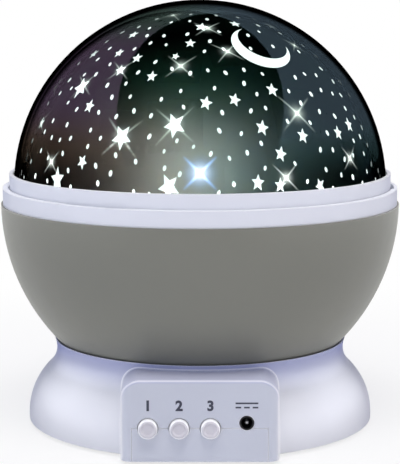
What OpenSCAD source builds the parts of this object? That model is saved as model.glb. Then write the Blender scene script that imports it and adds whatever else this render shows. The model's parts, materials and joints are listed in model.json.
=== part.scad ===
// Star night light: a ball with a star dome that turns on a round base.
// Millimetres. The origin is on the floor under the middle of the lamp, +Z is up, the front is -Y.

/* [Bowl] */
// Outer radius of the bowl, the lower half of the ball
bowl_r = 65; // [63:0.5:68]
// Wall and floor thickness of the bowl
bowl_wall = 2; // [1.5:0.1:2.5]
// Radius of the bowl's flat underside, which the base's neck follows
flat_r = 44.58; // [42:0.02:47]
// How far the bowl's rim lies below the ball's centre
rim_drop = 0.3; // [0.1:0.1:1]
// Outer radius of the bowl's bearing tube
hub_r = 10; // [9:0.5:11]
// Length of the bearing tube above the bowl's underside
hub_rise = 7.8; // [5:0.1:12]

/* [Rings] */
// Step in from the bowl to the rim ring
rim_step = 0.6; // [0.3:0.1:1.2]
// Height of the rim ring above the bowl
rim_ring_h = 5.3; // [5:0.1:7]
// Step in from the rim ring to the lock ring
lock_step = 2.2; // [2.1:0.1:3]
// Height of the lock ring above the rim ring
lock_ring_h = 4.6; // [3:0.1:7]
// Wall of the lock ring
lock_wall = 1.25; // [1.2:0.05:1.6]
// Thickness of the rim ring's plate and of its flange
ring_plate = 1.5; // [1.2:0.1:1.6]
// Depth of the rim ring's skirt inside the bowl
skirt_h = 6; // [4:0.5:9]
// Wall of that skirt
skirt_wall = 1.5; // [1.2:0.1:2]
// Width of a bayonet lug, in degrees
lug_angle = 16; // [10:1:24]
// How far a bayonet lug stands out
lug_out = 0.9; // [0.6:0.1:0.9]
// Bayonet lugs on the lock ring
lug_count = 3; // [2:1:4]

/* [Dome] */
// Wall of the smoked dome
dome_wall = 1.8; // [1.2:0.1:2.4]
// How far the dome's centre lies below the foot of the lock ring
dome_sink = 0.5; // [0:0.1:1]
// How far the dome's foot flange stands out
dome_flange = 0.6; // [0.4:0.1:0.6]
// Height of that flange
dome_flange_h = 1.3; // [1:0.1:1.4]
// Thickness of the printed film
film_t = 0.4; // [0.3:0.1:0.6]
// Air gap between the film and the dome
film_gap = 0.4; // [0.3:0.1:0.8]

/* [Deck] */
// Thickness of the deck that closes the bowl
deck_t = 1.5; // [1:0.1:2]
// Radius of the hole in the deck
deck_hole_r = 15; // [14.5:0.5:20]
// Width of the ledge under the deck's edge
deck_ledge = 3; // [2.5:0.5:5]

/* [Lamp] */
// Radius of the lamp post, which is the ball's bearing
post_r = 6; // [5.5:0.1:6.5]
// Radius of the post above the bearing
post_top_r = 5.5; // [5:0.1:5.5]
// Radius of the bore for the cable
post_bore_r = 3.5; // [3:0.1:4]
// Radius of the post's foot flange
post_flange_r = 9; // [8.8:0.1:9.5]
// Thickness of the thrust washer
washer_t = 0.8; // [0.5:0.1:1]
// Thickness of the retaining clip
clip_t = 0.8; // [0.6:0.1:1.2]
// Outer radius of the retaining clip
clip_r = 8.2; // [7.5:0.1:9]
// Radius of the disc that carries the lamp board
holder_r = 10; // [9.5:0.5:12]
// Thickness of that disc
holder_t = 4; // [3.5:0.5:5]
// Depth of the holder's socket on the post
socket_h = 10; // [6:1:14]
// Radius of the lamp board
led_board_r = 13; // [11:0.5:13.5]
// Height of the lamp board's underside above the deck
led_board_lift = 0.8; // [0.5:0.1:2]
// Radius of an LED
led_r = 2.5; // [2:0.1:2.6]
// Height of an LED
led_h = 5.6; // [5:0.1:7]

/* [Base] */
// Wall of the base shell
base_wall = 2; // [1.6:0.1:2.4]
// Radius of the hollow curve of the base's neck
neck_fillet = 9; // [8:0.5:10]
// Spread of the base from its neck to its foot
foot_flare = 9.4; // [8:0.1:11]
// Height of the widest level above the base's lower edge
foot_level = 1.5; // [0.5:0.1:3]
// Height of the base's upper edge above its neck
rim_rise = 3.2; // [2.5:0.1:3.3]
// Air gap between the bowl and the base's upper edge
bowl_gap = 0.3; // [0.3:0.05:0.6]
// Thickness of the bottom cover
cover_t = 2.5; // [2.3:0.1:3]
// Radius of a screw boss
boss_r = 3.2; // [3:0.1:3.6]
// Radius of a rubber foot
pad_r = 4.5; // [3.5:0.1:5]
// Height of a rubber foot below the base
pad_out = 1; // [0.8:0.1:2]

/* [Panel] */
// Width of the control panel housing
panel_w = 47.9; // [46:0.1:50]
// How far the panel stands out from the foot of the base
panel_out = 3.2; // [2.5:0.1:5]
// Height of the housing's top above the neck's narrowest level
panel_rise = 1.5; // [0.5:0.1:1.8]
// Radius of the upper corners of the face
panel_crown_r = 6; // [3:0.5:8]
// Radius of the upright front edges
panel_corner_r = 3.5; // [2.2:0.1:4]
// Radius of the upper front edge
panel_edge_r = 1.2; // [0.5:0.1:1.8]
// Wall of the housing
panel_wall = 1.9; // [1.5:0.1:2.2]
// Height of the button row and of the face's seam above the base's lower edge
seam_rise = 10.3; // [9.5:0.1:11]
// Radius of a button
button_r = 2.97; // [2.6:0.01:3.2]
// How far a button stands out of the face
button_out = 2; // [1.6:0.1:3]
// Bevel round a button's face
button_bevel = 0.7; // [0.3:0.1:0.8]
// Radius of the hollow in a button's face
dish_r = 1.6; // [1:0.1:1.8]
// Place of the first button, left of the middle
button_x = 15.6; // [15:0.1:16.5]
// Distance between the buttons
button_pitch = 9.36; // [8.5:0.01:9.6]
// Place of the power socket, right of the middle
jack_x = 14; // [13.5:0.1:15]
// Height of the power socket above the button row
jack_rise = 1.7; // [0.5:0.1:2.2]
// Radius of the power socket's bore
jack_bore_r = 1.8; // [1.7:0.05:1.9]
// Radius of the power socket's centre pin
jack_pin_r = 0.65; // [0.5:0.05:0.7]
// Thickness of the control board
board_t = 1.6; // [1:0.1:2]
// Depth between the panel's inner face and the control board
board_depth = 9.1; // [8.9:0.1:9.5]

/* [Batteries] */
// Radius of a battery cell
cell_r = 5.25; // [5.1:0.05:5.3]
// Length of a battery cell with its nipple
cell_l = 44.5; // [43.5:0.5:45.5]
// Distance between two cells
cell_pitch = 11.2; // [11:0.1:11.4]
// Number of cells
cell_count = 4; // [2:1:4]
// Place of the middle of the battery box, behind the axis
box_y = 12; // [11.5:0.5:13]
// Room for the contacts at each end of a cell
contact_room = 3.75; // [3.2:0.05:4]
// Wall of the battery box
box_wall = 1.5; // [1.2:0.1:1.8]
// Thickness of the battery door
door_t = 1.8; // [1.6:0.1:2]
// Radius of the door's hinge pins
door_pin_r = 0.5; // [0.4:0.05:0.55]

/* [Drive] */
// Thickness of the chassis plate
chassis_t = 2; // [1.6:0.1:2.5]
// Room for the cable under the chassis
cable_room = 1.7; // [1.6:0.1:2.5]
// Height of a gear wheel
wheel_t = 1.6; // [1.2:0.1:2]
// Height of the ring gear
ring_gear_h = 2.5; // [2.2:0.1:3.5]
// Module of the two fast gear stages
fast_module = 0.5; // [0.5:0.01:0.52]
// Module of the ring gear stage
ring_module = 0.8; // [0.78:0.01:0.82]
// Teeth of each pinion
pinion_teeth = 12; // [12:1:13]
// Teeth of each wheel
wheel_teeth = 42; // [40:1:43]
// Teeth of the ring gear
ring_teeth = 72; // [70:1:74]
// Play between two teeth, along the pitch circle
backlash = 0.12; // [0.08:0.01:0.16]
// Direction from the ball's axis to the second compound gear, in degrees
gear_2_angle = -35; // [-38:1:-32]
// Direction from the second to the first compound gear
gear_1_angle = -119; // [-122:1:-116]
// Direction from the first compound gear to the motor
motor_angle = -165; // [-168:1:-162]
// Radius of the motor
motor_r = 12.2; // [11:0.1:12.4]
// Length of the motor's can
motor_h = 12.3; // [10:0.1:12.4]
// Radius of the motor shaft and of the gear axles
axle_r = 1; // [0.8:0.05:1.1]

/* [Fits] */
// Radial clearance of a turning fit
running = 0.05; // [0.02:0.01:0.1]
// Clearance between two mouldings that fit together
fit = 0.15; // [0.12:0.01:0.2]
// Clearance between parts that pass each other
pass = 0.3; // [0.2:0.05:0.35]
// Hairline between the base shell and the face's lower half
seam_fit = 0.05; // [0.04:0.01:0.12]
// Radial clearance round a button
button_fit = 0.2; // [0.15:0.01:0.25]

/* [Hidden] */
$fn = 96;

// Levels, from the floor up
base_z = pad_out;
cover_top = base_z + cover_t;
door_top = base_z + door_t;
cell_z = door_top + pass + cell_r;
roof_z = cell_z + cell_r + fit;
roof_t = 1;
roof_top = roof_z + roof_t;
chassis_z = roof_top + cable_room;
chassis_top = chassis_z + chassis_t;
fast_z = chassis_top + 0.5;
slow_z = fast_z + wheel_t + 0.2;
ring_gear_z = slow_z + wheel_t + pass;
bowl_z = ring_gear_z + ring_gear_h;
bowl_drop = sqrt(bowl_r * bowl_r - flat_r * flat_r);
ball_z = bowl_z + bowl_drop;
rim_z = ball_z - rim_drop;
plate_z = rim_z + ring_plate;
lock_z = rim_z + rim_ring_h;
flange_z = lock_z - ring_plate;
ring_top = lock_z + lock_ring_h;
dome_z = lock_z - dome_sink;
neck_z = bowl_z - 0.7;
base_top = neck_z + rim_rise;
panel_top = neck_z + panel_rise;
seam_z = base_z + seam_rise;

// Radii of the ball
rim_ring_r = bowl_r - rim_step;
lock_r = rim_ring_r - lock_step;
lock_bore_r = lock_r - lock_wall;
dome_r = lock_bore_r - fit;
dome_in_r = dome_r - dome_wall;
dome_flange_r = dome_r + dome_flange;
dome_foot_z = plate_z + 0.1;
film_r = dome_in_r - film_gap;
film_in_r = film_r - film_t;
film_z = plate_z + deck_t + pass;
lug_r = lock_r + lug_out;
groove_r = lug_r + 0.2;
deck_r = film_in_r - pass;
skirt_r = bowl_r - bowl_wall - 0.5;

// Outline of the base: a hollow arc at the neck that runs on into a round one at the foot
neck_gap = 0.8;
neck_r = flat_r + neck_gap + base_wall;
foot_r = neck_r + foot_flare;
foot_z = base_z + foot_level;
neck_cr = neck_r + neck_fillet;
arc_offset = neck_cr - foot_r;
arc_rise = neck_z - foot_z;
foot_arc = (arc_offset * arc_offset + arc_rise * arc_rise - neck_fillet * neck_fillet)
    / (2 * (neck_fillet - arc_offset));
foot_cr = foot_r - foot_arc;
arc_angle = atan2(arc_rise, neck_cr - foot_cr);
neck_bands = 16;
parting_step = 0.02;

// Panel, chassis and bosses
panel_y = foot_r + panel_out;
panel_back = neck_r - base_wall - 8;
cover_r = foot_r - base_wall - fit;
upstand_w = panel_w - 2 * panel_corner_r;
chassis_r = neck_r - base_wall - 0.4;
boss_circle = chassis_r - boss_r - 0.3;
boss_angles = [30, 150, 210, 330];
board_y = panel_y - panel_wall - board_depth;
jack_z = seam_z + jack_rise;
jack_r = jack_bore_r + 0.35;
board_boss_x = panel_w / 2 - panel_wall - 4;
board_boss_z = panel_top - panel_wall - 3.8;
button_xs = [for (i = [0 : 2]) i * button_pitch - button_x];

// Battery box
box_x = cell_l / 2 + contact_room;
box_half = (cell_count - 1) / 2 * cell_pitch + cell_r + 0.25;
box_front = box_y - box_half;
box_back = box_y + box_half;
cell_ys = [for (i = [0 : cell_count - 1]) box_y + (i - (cell_count - 1) / 2) * cell_pitch];
door_ledge = 1;
door_x = box_x + door_ledge - fit;
door_front = box_front - door_ledge + fit;
hinge_y = box_back + 0.1;
hinge_z = base_z + door_t / 2;
pin_l = 1.3;
contact_t = 0.4;

// Gear train, from the ring gear back to the motor
ring_pitch_r = ring_module * ring_teeth / 2;
drive_pitch_r = ring_module * pinion_teeth / 2;
fast_distance = fast_module * (pinion_teeth + wheel_teeth) / 2;
gear_2_at = (ring_pitch_r - drive_pitch_r) * [cos(gear_2_angle), sin(gear_2_angle)];
gear_1_at = gear_2_at + fast_distance * [cos(gear_1_angle), sin(gear_1_angle)];
motor_at = gear_1_at + fast_distance * [cos(motor_angle), sin(motor_angle)];
motor_hole = 8;
motor_boss_r = 3;
ring_gear_r = ring_pitch_r + 5.2;
ring_screw_circle = ring_gear_r - 2.2;
half_pinion_tooth = 180 / pinion_teeth;

// Lamp post and its bearing
post_top = plate_z - 1.7;
hub_bore_r = post_r + running;
washer_z = slow_z - 0.2;
hub_z = washer_z + washer_t + running;
clip_z = bowl_z + hub_rise + 0.1;
clip_groove_r = post_r - 1;
led_board_z = plate_z + deck_t + led_board_lift;
led_board_t = 1.6;
led_z = led_board_z + led_board_t;
led_at = led_r + 0.4;
holder_z = led_board_z - holder_t;

// Screws, feet and small parts
fine_screw_r = 0.9;
screw_r = 1.25;
screw_head_depth = 1.5;
screw_bite = 4;
fine_bite = 2.5;
base_screw_l = 7.5;
post_screw_circle = post_flange_r - 1.5;
post_screw_angles = [90, 210, 330];
led_screw_at = holder_r - 1.8;
deck_screw_circle = deck_r - 1.6;
deck_screw_angles = [60, 180, 300];
pad_circle = cover_r - pad_r - 3;
pad_angles = [40, 140, 220, 320];
pad_sink = 0.6;
motor_shaft_in = 8;
board_w = panel_w - 2 * panel_wall - 3;
switch_h = 3.5;
switch_w = 6;
jack_body_w = 6.6;
lead_r = 0.6;
plunger_r = 1.7;
plunger_top = 5.6;
button_stem_r = 1.5;
button_flange = 0.9;
dish_depth = 0.3;
jack_floor = 3;
nipple_l = 1;
nipple_r = 1.9;
spring_wire_r = 0.35;
spring_r = 3.6;
spring_top_r = 2.2;
spring_turns = 3;
contact_w = 9;

white = "#d6d8e2";
base_white = "#b9bed2";
grey = "#7c7c78";
steel = "#b0b2b4";
brass = "#c8a64a";
green_board = "#1f5f3a";

// ---------------------------------------------------------------- shared shapes

// Places its children on a circle, at each of the given angles.
module around(r, angles) {
    for (a = angles) rotate([0, 0, a]) translate([r, 0, 0]) children();
}

// A pan-head screw that points down, its head standing on z = 0, with a cross recess.
module pan_screw(r, length) {
    head_r = 2 * r;
    head_h = 1.05 * r;
    difference() {
        union() {
            cylinder(h = head_h, r = head_r);
            translate([0, 0, -length]) cylinder(h = length, r = r);
        }
        cross_recess(r, head_h);
    }
}

// A screw with a low, narrow head, for a place near an edge.
module pan_screw_small_head(r, length) {
    difference() {
        union() {
            cylinder(h = r, r = 1.6 * r);
            translate([0, 0, -length]) cylinder(h = length, r = r);
        }
        cross_recess(r, r);
    }
}

// The cross that a screwdriver fits, sunk into a head that ends at z = top.
module cross_recess(r, top) {
    blade = [2.2 * r, 0.45 * r, r];
    for (turn = [0, 90]) rotate([0, 0, turn])
        translate([0, 0, top + r / 2 - 0.6 * r]) cube(blade, center = true);
}

// A countersunk screw that points down, the top of its head flush with z = 0.
module flat_screw(r, length) {
    difference() {
        union() {
            translate([0, 0, -r]) cylinder(h = r, r1 = r, r2 = 2 * r);
            translate([0, 0, -length]) cylinder(h = length, r = r);
        }
        cross_recess(r, 0);
    }
}

// The hole that a countersunk screw sits in, from z = 0 down.
module flat_screw_hole(r, depth) {
    translate([0, 0, -r]) cylinder(h = r, r1 = r, r2 = 2 * r);
    translate([0, 0, -depth]) cylinder(h = depth, r = r);
}

// A flat ring.
module washer(outer, inner, h) {
    difference() {
        cylinder(h = h, r = outer);
        translate([0, 0, -1]) cylinder(h = h + 2, r = inner);
    }
}

// A slice of pie about the Z axis, centred on angle 0, for cutting rings.
module wedge(r, angle, h) {
    rotate([0, 0, -angle / 2]) rotate_extrude(angle = angle) square([r, h]);
}

// The direction of a lead at point i: the mean of the runs before and after it.
function lead_way(points, i) =
    let (n = len(points) - 1, a = points[max(i, 1)] - points[max(i, 1) - 1],
        b = points[min(i + 1, n)] - points[min(i + 1, n) - 1], way = a / norm(a) + b / norm(b))
        way / norm(way);

// A ring of points round a lead at point i, square to its direction there.
function lead_ring(points, i, r, sides) =
    let (way = lead_way(points, i), across = cross(way, [1, 0, 0]), u = across / norm(across),
        v = cross(way, u))
        [for (k = [0 : sides - 1]) points[i] + r * (cos(360 * k / sides) * u
            + sin(360 * k / sides) * v)];

// The quads between one ring of points and the next, with a cap at each end.
function tube_faces(rings, sides) = concat(
    [for (i = [0 : rings - 2], k = [0 : sides - 1]) let (n = (k + 1) % sides)
        [i * sides + k, i * sides + n, (i + 1) * sides + n, (i + 1) * sides + k]],
    [[for (k = [sides - 1 : -1 : 0]) k], [for (k = [0 : sides - 1]) (rings - 1) * sides + k]]);

// An insulated lead of radius r along a list of points, none of whose runs lies along X.
module lead(points, r) {
    sides = 8;
    polyhedron([for (i = [0 : len(points) - 1]) each lead_ring(points, i, r, sides)],
        tube_faces(len(points), sides));
}

// ---------------------------------------------------------------- gears

// The involute function of a pressure angle, in degrees.
function involute(angle) = tan(angle) * 180 / PI - angle;

// Half the angle that a tooth of pitch thickness t takes up at radius r.
function half_tooth(r, pitch_r, t) =
    let (base_r = pitch_r * cos(20), angle = r > base_r ? acos(base_r / r) : 0)
        t / pitch_r * 90 / PI + involute(20) - involute(angle);

// The outline of a gear: each tooth rises from the root to the tip over three points a flank.
function gear_points(teeth, pitch_r, root_r, tip_r, t) = [
    for (i = [0 : teeth - 1], side = [-1, 1], k = [0 : 2])
        let (radii = side < 0 ? [root_r, pitch_r, tip_r] : [tip_r, pitch_r, root_r],
            r = radii[k], a = i * 360 / teeth + side * half_tooth(r, pitch_r, t))
            r * [cos(a), sin(a)]];

// An outer gear with short teeth, one of them on the X axis.
module gear(teeth, m, h) {
    pitch_r = m * teeth / 2;
    linear_extrude(h)
        polygon(gear_points(teeth, pitch_r, pitch_r - 1.05 * m, pitch_r + 0.8 * m,
            PI * m / 2 - backlash));
}

// A wheel and a pinion in one moulding; the pinion stands on the wheel.
module compound_gear(m, wheel_turn, pinion_m, pinion_turn, pinion_h) {
    difference() {
        union() {
            rotate([0, 0, wheel_turn]) gear(wheel_teeth, m, wheel_t);
            translate([0, 0, wheel_t]) rotate([0, 0, pinion_turn])
                gear(pinion_teeth, pinion_m, pinion_h);
        }
        translate([0, 0, -1]) cylinder(h = wheel_t + pinion_h + 2, r = axle_r + running, $fn = 48);
    }
}

// ---------------------------------------------------------------- base

// Half of the base's outline, set in by a wall: two arcs that meet where their centres line up.
// The hollow upper arc is drawn as short cones, the round lower arc as a true one. The mould's
// parting line runs between them, as a step far too small to see.
module base_outline(inset, bottom) {
    hollow_r = neck_fillet + inset;
    round_r = foot_arc - inset;
    meet_z = foot_z + round_r * sin(arc_angle);
    top_angle = asin((base_top + 1 - neck_z) / hollow_r);
    first = [neck_cr - hollow_r * cos(arc_angle) - parting_step, meet_z];
    hollow = [for (i = [1 : neck_bands])
        let (a = arc_angle - (arc_angle + top_angle) * i / neck_bands)
            [neck_cr - hollow_r * cos(a), neck_z - hollow_r * sin(a)]];
    polygon(concat([[0, meet_z], first], hollow, [[0, base_top + 1]]));
    intersection() {
        translate([0, bottom]) square([foot_r, meet_z - bottom]);
        union() {
            translate([foot_cr, foot_z]) circle(round_r);
            translate([0, bottom]) square([foot_cr, meet_z - bottom]);
        }
    }
}

// The round body of the base, filled.
module base_body(inset, bottom, top) {
    intersection() {
        rotate_extrude() base_outline(inset, bottom);
        translate([0, 0, bottom]) cylinder(h = top - bottom, r = foot_r + 1);
    }
}

// A rectangle whose two upper corners are round.
module crowned(w, low, high, r) {
    translate([-w / 2, low]) square([w, high - low - r]);
    translate([r - w / 2, low]) square([w - 2 * r, high - low]);
    for (side = [-1, 1]) translate([side * (w / 2 - r), high - r]) circle(r);
}

// The block of the control panel, filled and set in by a wall.
module panel_block(inset, bottom) {
    w = panel_w - 2 * inset;
    front = panel_y - inset;
    top = panel_top - inset;
    edge = max(panel_edge_r - inset, 0.2);
    intersection() {
        translate([0, -panel_back, 0]) rotate([90, 0, 0])
            linear_extrude(front - panel_back) crowned(w, bottom, top, panel_crown_r - inset);
        translate([0, 0, bottom]) rotate([0, 0, 180])
            linear_extrude(top - bottom) crowned(w, panel_back, front, panel_corner_r - inset);
        rotate([90, 0, 0]) rotate([0, 90, 0])
            linear_extrude(w, center = true) panel_side(front, bottom, top, edge);
    }
}

// The panel block seen from the side: front edge at -front, its upper corner round.
module panel_side(front, bottom, top, edge) {
    translate([-front, bottom]) square([front - panel_back, top - edge - bottom]);
    translate([edge - front, bottom]) square([front - edge - panel_back, top - bottom]);
    translate([edge - front, top - edge]) circle(edge);
}

// The lower half of the panel's face, which belongs to the bottom cover.
module upstand_block(gap, depth) {
    translate([gap - upstand_w / 2, -panel_y, base_z])
        cube([upstand_w - 2 * gap, depth, seam_rise - gap]);
}

// The holes of the three buttons and of the power socket through the face.
module panel_holes() {
    for (x = button_xs) translate([x, 1 - panel_y + panel_wall, seam_z]) rotate([90, 0, 0])
        cylinder(h = panel_wall + 2, r = button_r + button_fit);
    translate([jack_x, 1 - panel_y + panel_wall, jack_z]) rotate([90, 0, 0])
        cylinder(h = panel_wall + 2, r = jack_r + 0.1);
}

module base_shell() {
    color(base_white) difference() {
        union() {
            difference() {
                union() {
                    base_body(0, base_z, base_top);
                    panel_block(0, base_z);
                }
                base_body(base_wall, base_z - 1, base_top + 1);
                panel_block(panel_wall, base_z - 1);
            }
            intersection() {
                base_bosses();
                base_body(base_wall / 2, base_z, base_top);
            }
            board_bosses();
        }
        translate([0, 0, ball_z]) sphere(bowl_r + bowl_gap);
        upstand_block(-seam_fit, panel_wall + 1);
        panel_holes();
        around(boss_circle, boss_angles) translate([0, 0, cover_top - 1])
            cylinder(h = base_screw_l, r = screw_r);
        around(boss_circle, boss_angles) translate([0, 0, chassis_z - screw_bite - 0.5])
            cylinder(h = screw_bite + 1, r = screw_r);
        board_screw_places() cylinder(h = 5, r = fine_screw_r);
    }
}

// The bosses that join the base shell, the bottom cover and the chassis, with webs to the wall.
module base_bosses() {
    for (a = boss_angles) rotate([0, 0, a]) translate([boss_circle, 0, cover_top]) {
        cylinder(h = chassis_z - cover_top, r = boss_r);
        translate([0, -0.8, 0]) cube([foot_r - boss_circle, 1.6, chassis_z - cover_top]);
    }
}

// Places of the two control board screws: the children's +Z points to the front.
module board_screw_places() {
    for (side = [-1, 1]) translate([side * board_boss_x, -board_y, board_boss_z])
        rotate([90, 0, 0]) children();
}

module board_bosses() {
    board_screw_places() cylinder(h = board_depth + panel_wall / 2, r = 2.3);
}

// The opening of the battery box, and the recess that its door lies in.
module box_opening() {
    translate([-box_x, box_front, base_z - 1])
        cube([2 * box_x, 2 * box_half, roof_z - base_z + 1]);
    translate([-door_x - fit, door_front - fit, base_z - 1])
        cube([2 * (door_x + fit), hinge_y + door_t / 2 - door_front + 2 * fit, door_t + fit + 1]);
}

module bottom_cover() {
    color(base_white) difference() {
        union() {
            translate([0, 0, base_z]) cylinder(h = cover_t, r = cover_r);
            intersection() {
                panel_block(panel_wall + fit, base_z);
                translate([-panel_w, -panel_y, base_z]) cube([2 * panel_w, panel_y, cover_t]);
            }
            upstand_block(0, panel_wall);
            translate([-upstand_w / 2, -panel_y, base_z]) cube([upstand_w, panel_wall + 1, cover_t]);
            translate([-box_x - box_wall, box_front - box_wall, base_z])
                cube([2 * (box_x + box_wall), 2 * (box_half + box_wall), roof_top - base_z]);
        }
        box_opening();
        panel_holes();
        around(boss_circle, boss_angles) translate([0, 0, base_z - 1]) {
            cylinder(h = cover_t + 2, r = screw_r + fit);
            cylinder(h = 1 + screw_head_depth, r = 2 * screw_r + fit);
        }
        around(pad_circle, pad_angles) translate([0, 0, base_z - 1])
            cylinder(h = 1 + pad_sink, r = pad_r);
        translate([0, hinge_y, hinge_z]) rotate([0, 90, 0])
            cylinder(h = 2 * (door_x + pin_l + fit), r = door_pin_r + running, center = true, $fn = 48);
        translate([0, door_front - fit, base_z - 1]) cylinder(h = 1 + 1.2, r = 6);
    }
}

module rubber_feet() {
    color("#2b2b2d") around(pad_circle, pad_angles) cylinder(h = pad_out + pad_sink, r = pad_r);
}

module base_screws() {
    color(steel) around(boss_circle, boss_angles) translate([0, 0, base_z + screw_head_depth])
        rotate([180, 0, 0]) pan_screw(screw_r, base_screw_l);
}

module chassis_plate() {
    color(white) difference() {
        translate([0, 0, chassis_z]) cylinder(h = chassis_t, r = chassis_r);
        translate([0, 0, chassis_z - 1]) {
            cylinder(h = chassis_t + 2, r = post_r);
            translate(motor_at) cylinder(h = chassis_t + 2, r = motor_boss_r + 0.1);
            for (at = [gear_1_at, gear_2_at]) translate(at) cylinder(h = chassis_t + 2, r = axle_r);
            around(boss_circle, boss_angles) cylinder(h = chassis_t + 2, r = screw_r);
            around(post_screw_circle, post_screw_angles)
                cylinder(h = chassis_t + 2, r = fine_screw_r);
        }
        motor_screw_places() flat_screw_hole(fine_screw_r, chassis_t + 1);
    }
}

module chassis_screws() {
    color(steel) around(boss_circle, boss_angles) translate([0, 0, chassis_top])
        pan_screw_small_head(screw_r, chassis_t + screw_bite);
}

// ---------------------------------------------------------------- lamp and bearing

module lamp_post() {
    color(white) difference() {
        union() {
            translate([0, 0, chassis_z]) cylinder(h = clip_z + 3 - chassis_z, r = post_r);
            translate([0, 0, chassis_top]) cylinder(h = washer_z - chassis_top, r = post_flange_r);
            translate([0, 0, clip_z]) cylinder(h = post_top - clip_z, r = post_top_r);
        }
        translate([0, 0, chassis_z - 1]) cylinder(h = post_top - chassis_z + 2, r = post_bore_r);
        translate([0, 0, clip_z]) washer(post_r + 1, clip_groove_r, clip_t);
        around(post_screw_circle, post_screw_angles) translate([0, 0, chassis_z - 1])
            cylinder(h = chassis_t + 2.4, r = fine_screw_r);
    }
}

module post_screws() {
    color(steel) around(post_screw_circle, post_screw_angles) translate([0, 0, chassis_z])
        rotate([180, 0, 0]) pan_screw_small_head(fine_screw_r, chassis_t + 1.2);
}

module thrust_washer() {
    color("#e8e4da") translate([0, 0, washer_z]) washer(post_flange_r, hub_bore_r, washer_t);
}

module retaining_clip() {
    color(steel) translate([0, 0, clip_z]) difference() {
        washer(clip_r, clip_groove_r, clip_t);
        translate([0, 0, -1]) wedge(clip_r + 1, 80, clip_t + 2);
    }
}

module led_holder() {
    color(white) difference() {
        union() {
            translate([0, 0, holder_z]) cylinder(h = holder_t, r = holder_r);
            translate([0, 0, post_top - socket_h])
                cylinder(h = socket_h + 0.1, r = post_top_r + 2);
        }
        translate([0, 0, post_top - socket_h - 1]) cylinder(h = socket_h + 1, r = post_top_r);
        translate([0, 0, holder_z - 1]) cylinder(h = holder_t + 2, r = post_bore_r);
        around(led_screw_at, [0, 180]) translate([0, 0, led_board_z - 3])
            cylinder(h = 4, r = fine_screw_r);
    }
}

module led_board() {
    color("#e4e6ea") difference() {
        translate([0, 0, led_board_z]) cylinder(h = led_board_t, r = led_board_r);
        around(led_screw_at, [0, 180]) translate([0, 0, led_board_z - 1])
            cylinder(h = led_board_t + 2, r = fine_screw_r);
    }
}

module led_board_screws() {
    color(steel) around(led_screw_at, [0, 180]) translate([0, 0, led_z])
        pan_screw_small_head(fine_screw_r, led_board_t + fine_bite);
}

// A round LED with its collar and its domed top.
module led(angle) {
    around(led_at * sqrt(2), [angle]) translate([0, 0, led_z]) {
        cylinder(h = 1, r = led_r + 0.3);
        cylinder(h = led_h - led_r, r = led_r);
        translate([0, 0, led_h - led_r]) sphere(led_r);
    }
}

module led_warm() { color("#fff3d6") led(225); }
module led_blue() { color("#b8ccff") led(315); }
module led_green() { color("#c2f2cc") led(45); }
module led_red() { color("#f6c0bc") led(135); }

// The lamp's cable: from the board, past the motor, and up the bore of the post.
module led_cable() {
    run_z = chassis_z - cable_room / 2;
    board_back = board_t - board_y;
    side_x = 4.5 - board_w / 2;
    way = [-0.62, -0.78];
    edge = way * (post_bore_r - 0.3);
    inner = way * post_bore_r / 2;
    color("#e8e8e8") lead([[side_x, board_back, seam_z + 1], [side_x, board_back + 4, seam_z + 1],
        [side_x, motor_at[1] + 5, run_z], [each edge, run_z], [each inner, run_z + 0.2],
        [0, 0, run_z + 2], [0, 0, led_board_z]], lead_r + 0.1);
}

// ---------------------------------------------------------------- drive

// Places of the two screws that hold the motor, at the top of the chassis.
module motor_screw_places() {
    translate([motor_at[0], motor_at[1], chassis_top])
        around(motor_hole, [80, 260]) children();
}

module motor() {
    color(steel) translate([motor_at[0], motor_at[1], chassis_z]) difference() {
        union() {
            translate([0, 0, -motor_h]) cylinder(h = motor_h, r = motor_r);
            cylinder(h = 1.4, r = motor_boss_r);
        }
        translate([0, 0, -motor_shaft_in]) cylinder(h = 20, r = axle_r + running, $fn = 48);
        around(motor_hole, [80, 260]) translate([0, 0, -3]) cylinder(h = 4, r = fine_screw_r);
    }
}

module motor_screws() {
    color(steel) motor_screw_places() flat_screw(fine_screw_r, chassis_t + fine_bite);
}

module motor_shaft() {
    color(steel) translate([motor_at[0], motor_at[1], chassis_z + 0.5 - motor_shaft_in])
        cylinder(h = fast_z + wheel_t - chassis_z - 0.5 + motor_shaft_in, r = axle_r, $fn = 48);
}

module motor_pinion() {
    color(brass) translate([motor_at[0], motor_at[1], fast_z]) difference() {
        rotate([0, 0, motor_angle + 180 + half_pinion_tooth])
            gear(pinion_teeth, fast_module, wheel_t);
        translate([0, 0, -1]) cylinder(h = wheel_t + 2, r = axle_r, $fn = 48);
    }
}

// A pair of leads from the motor's side round to the end of the board.
module motor_cable() {
    low = cover_top + 3;
    out = [cos(225), sin(225)];
    from = [motor_at[0], motor_at[1]];
    board_back = board_t - board_y;
    end_x = 1.5 - board_w / 2;
    color("#b03030") lead([[each from + motor_r * out, low], [each from + (motor_r + 3) * out, low],
        [end_x, board_back + 3, low + 1], [end_x, board_back, low + 1]], lead_r);
}

module gear_axles() {
    color(steel) {
        translate([gear_1_at[0], gear_1_at[1], chassis_z])
            cylinder(h = slow_z + wheel_t - chassis_z, r = axle_r, $fn = 48);
        translate([gear_2_at[0], gear_2_at[1], chassis_z])
            cylinder(h = bowl_z - pass - chassis_z, r = axle_r, $fn = 48);
    }
}

module compound_gear_1() {
    color("#e9e6dc") translate([gear_1_at[0], gear_1_at[1], fast_z])
        compound_gear(fast_module, motor_angle, fast_module,
            gear_1_angle + 180 + half_pinion_tooth, wheel_t + 0.2);
}

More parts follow.
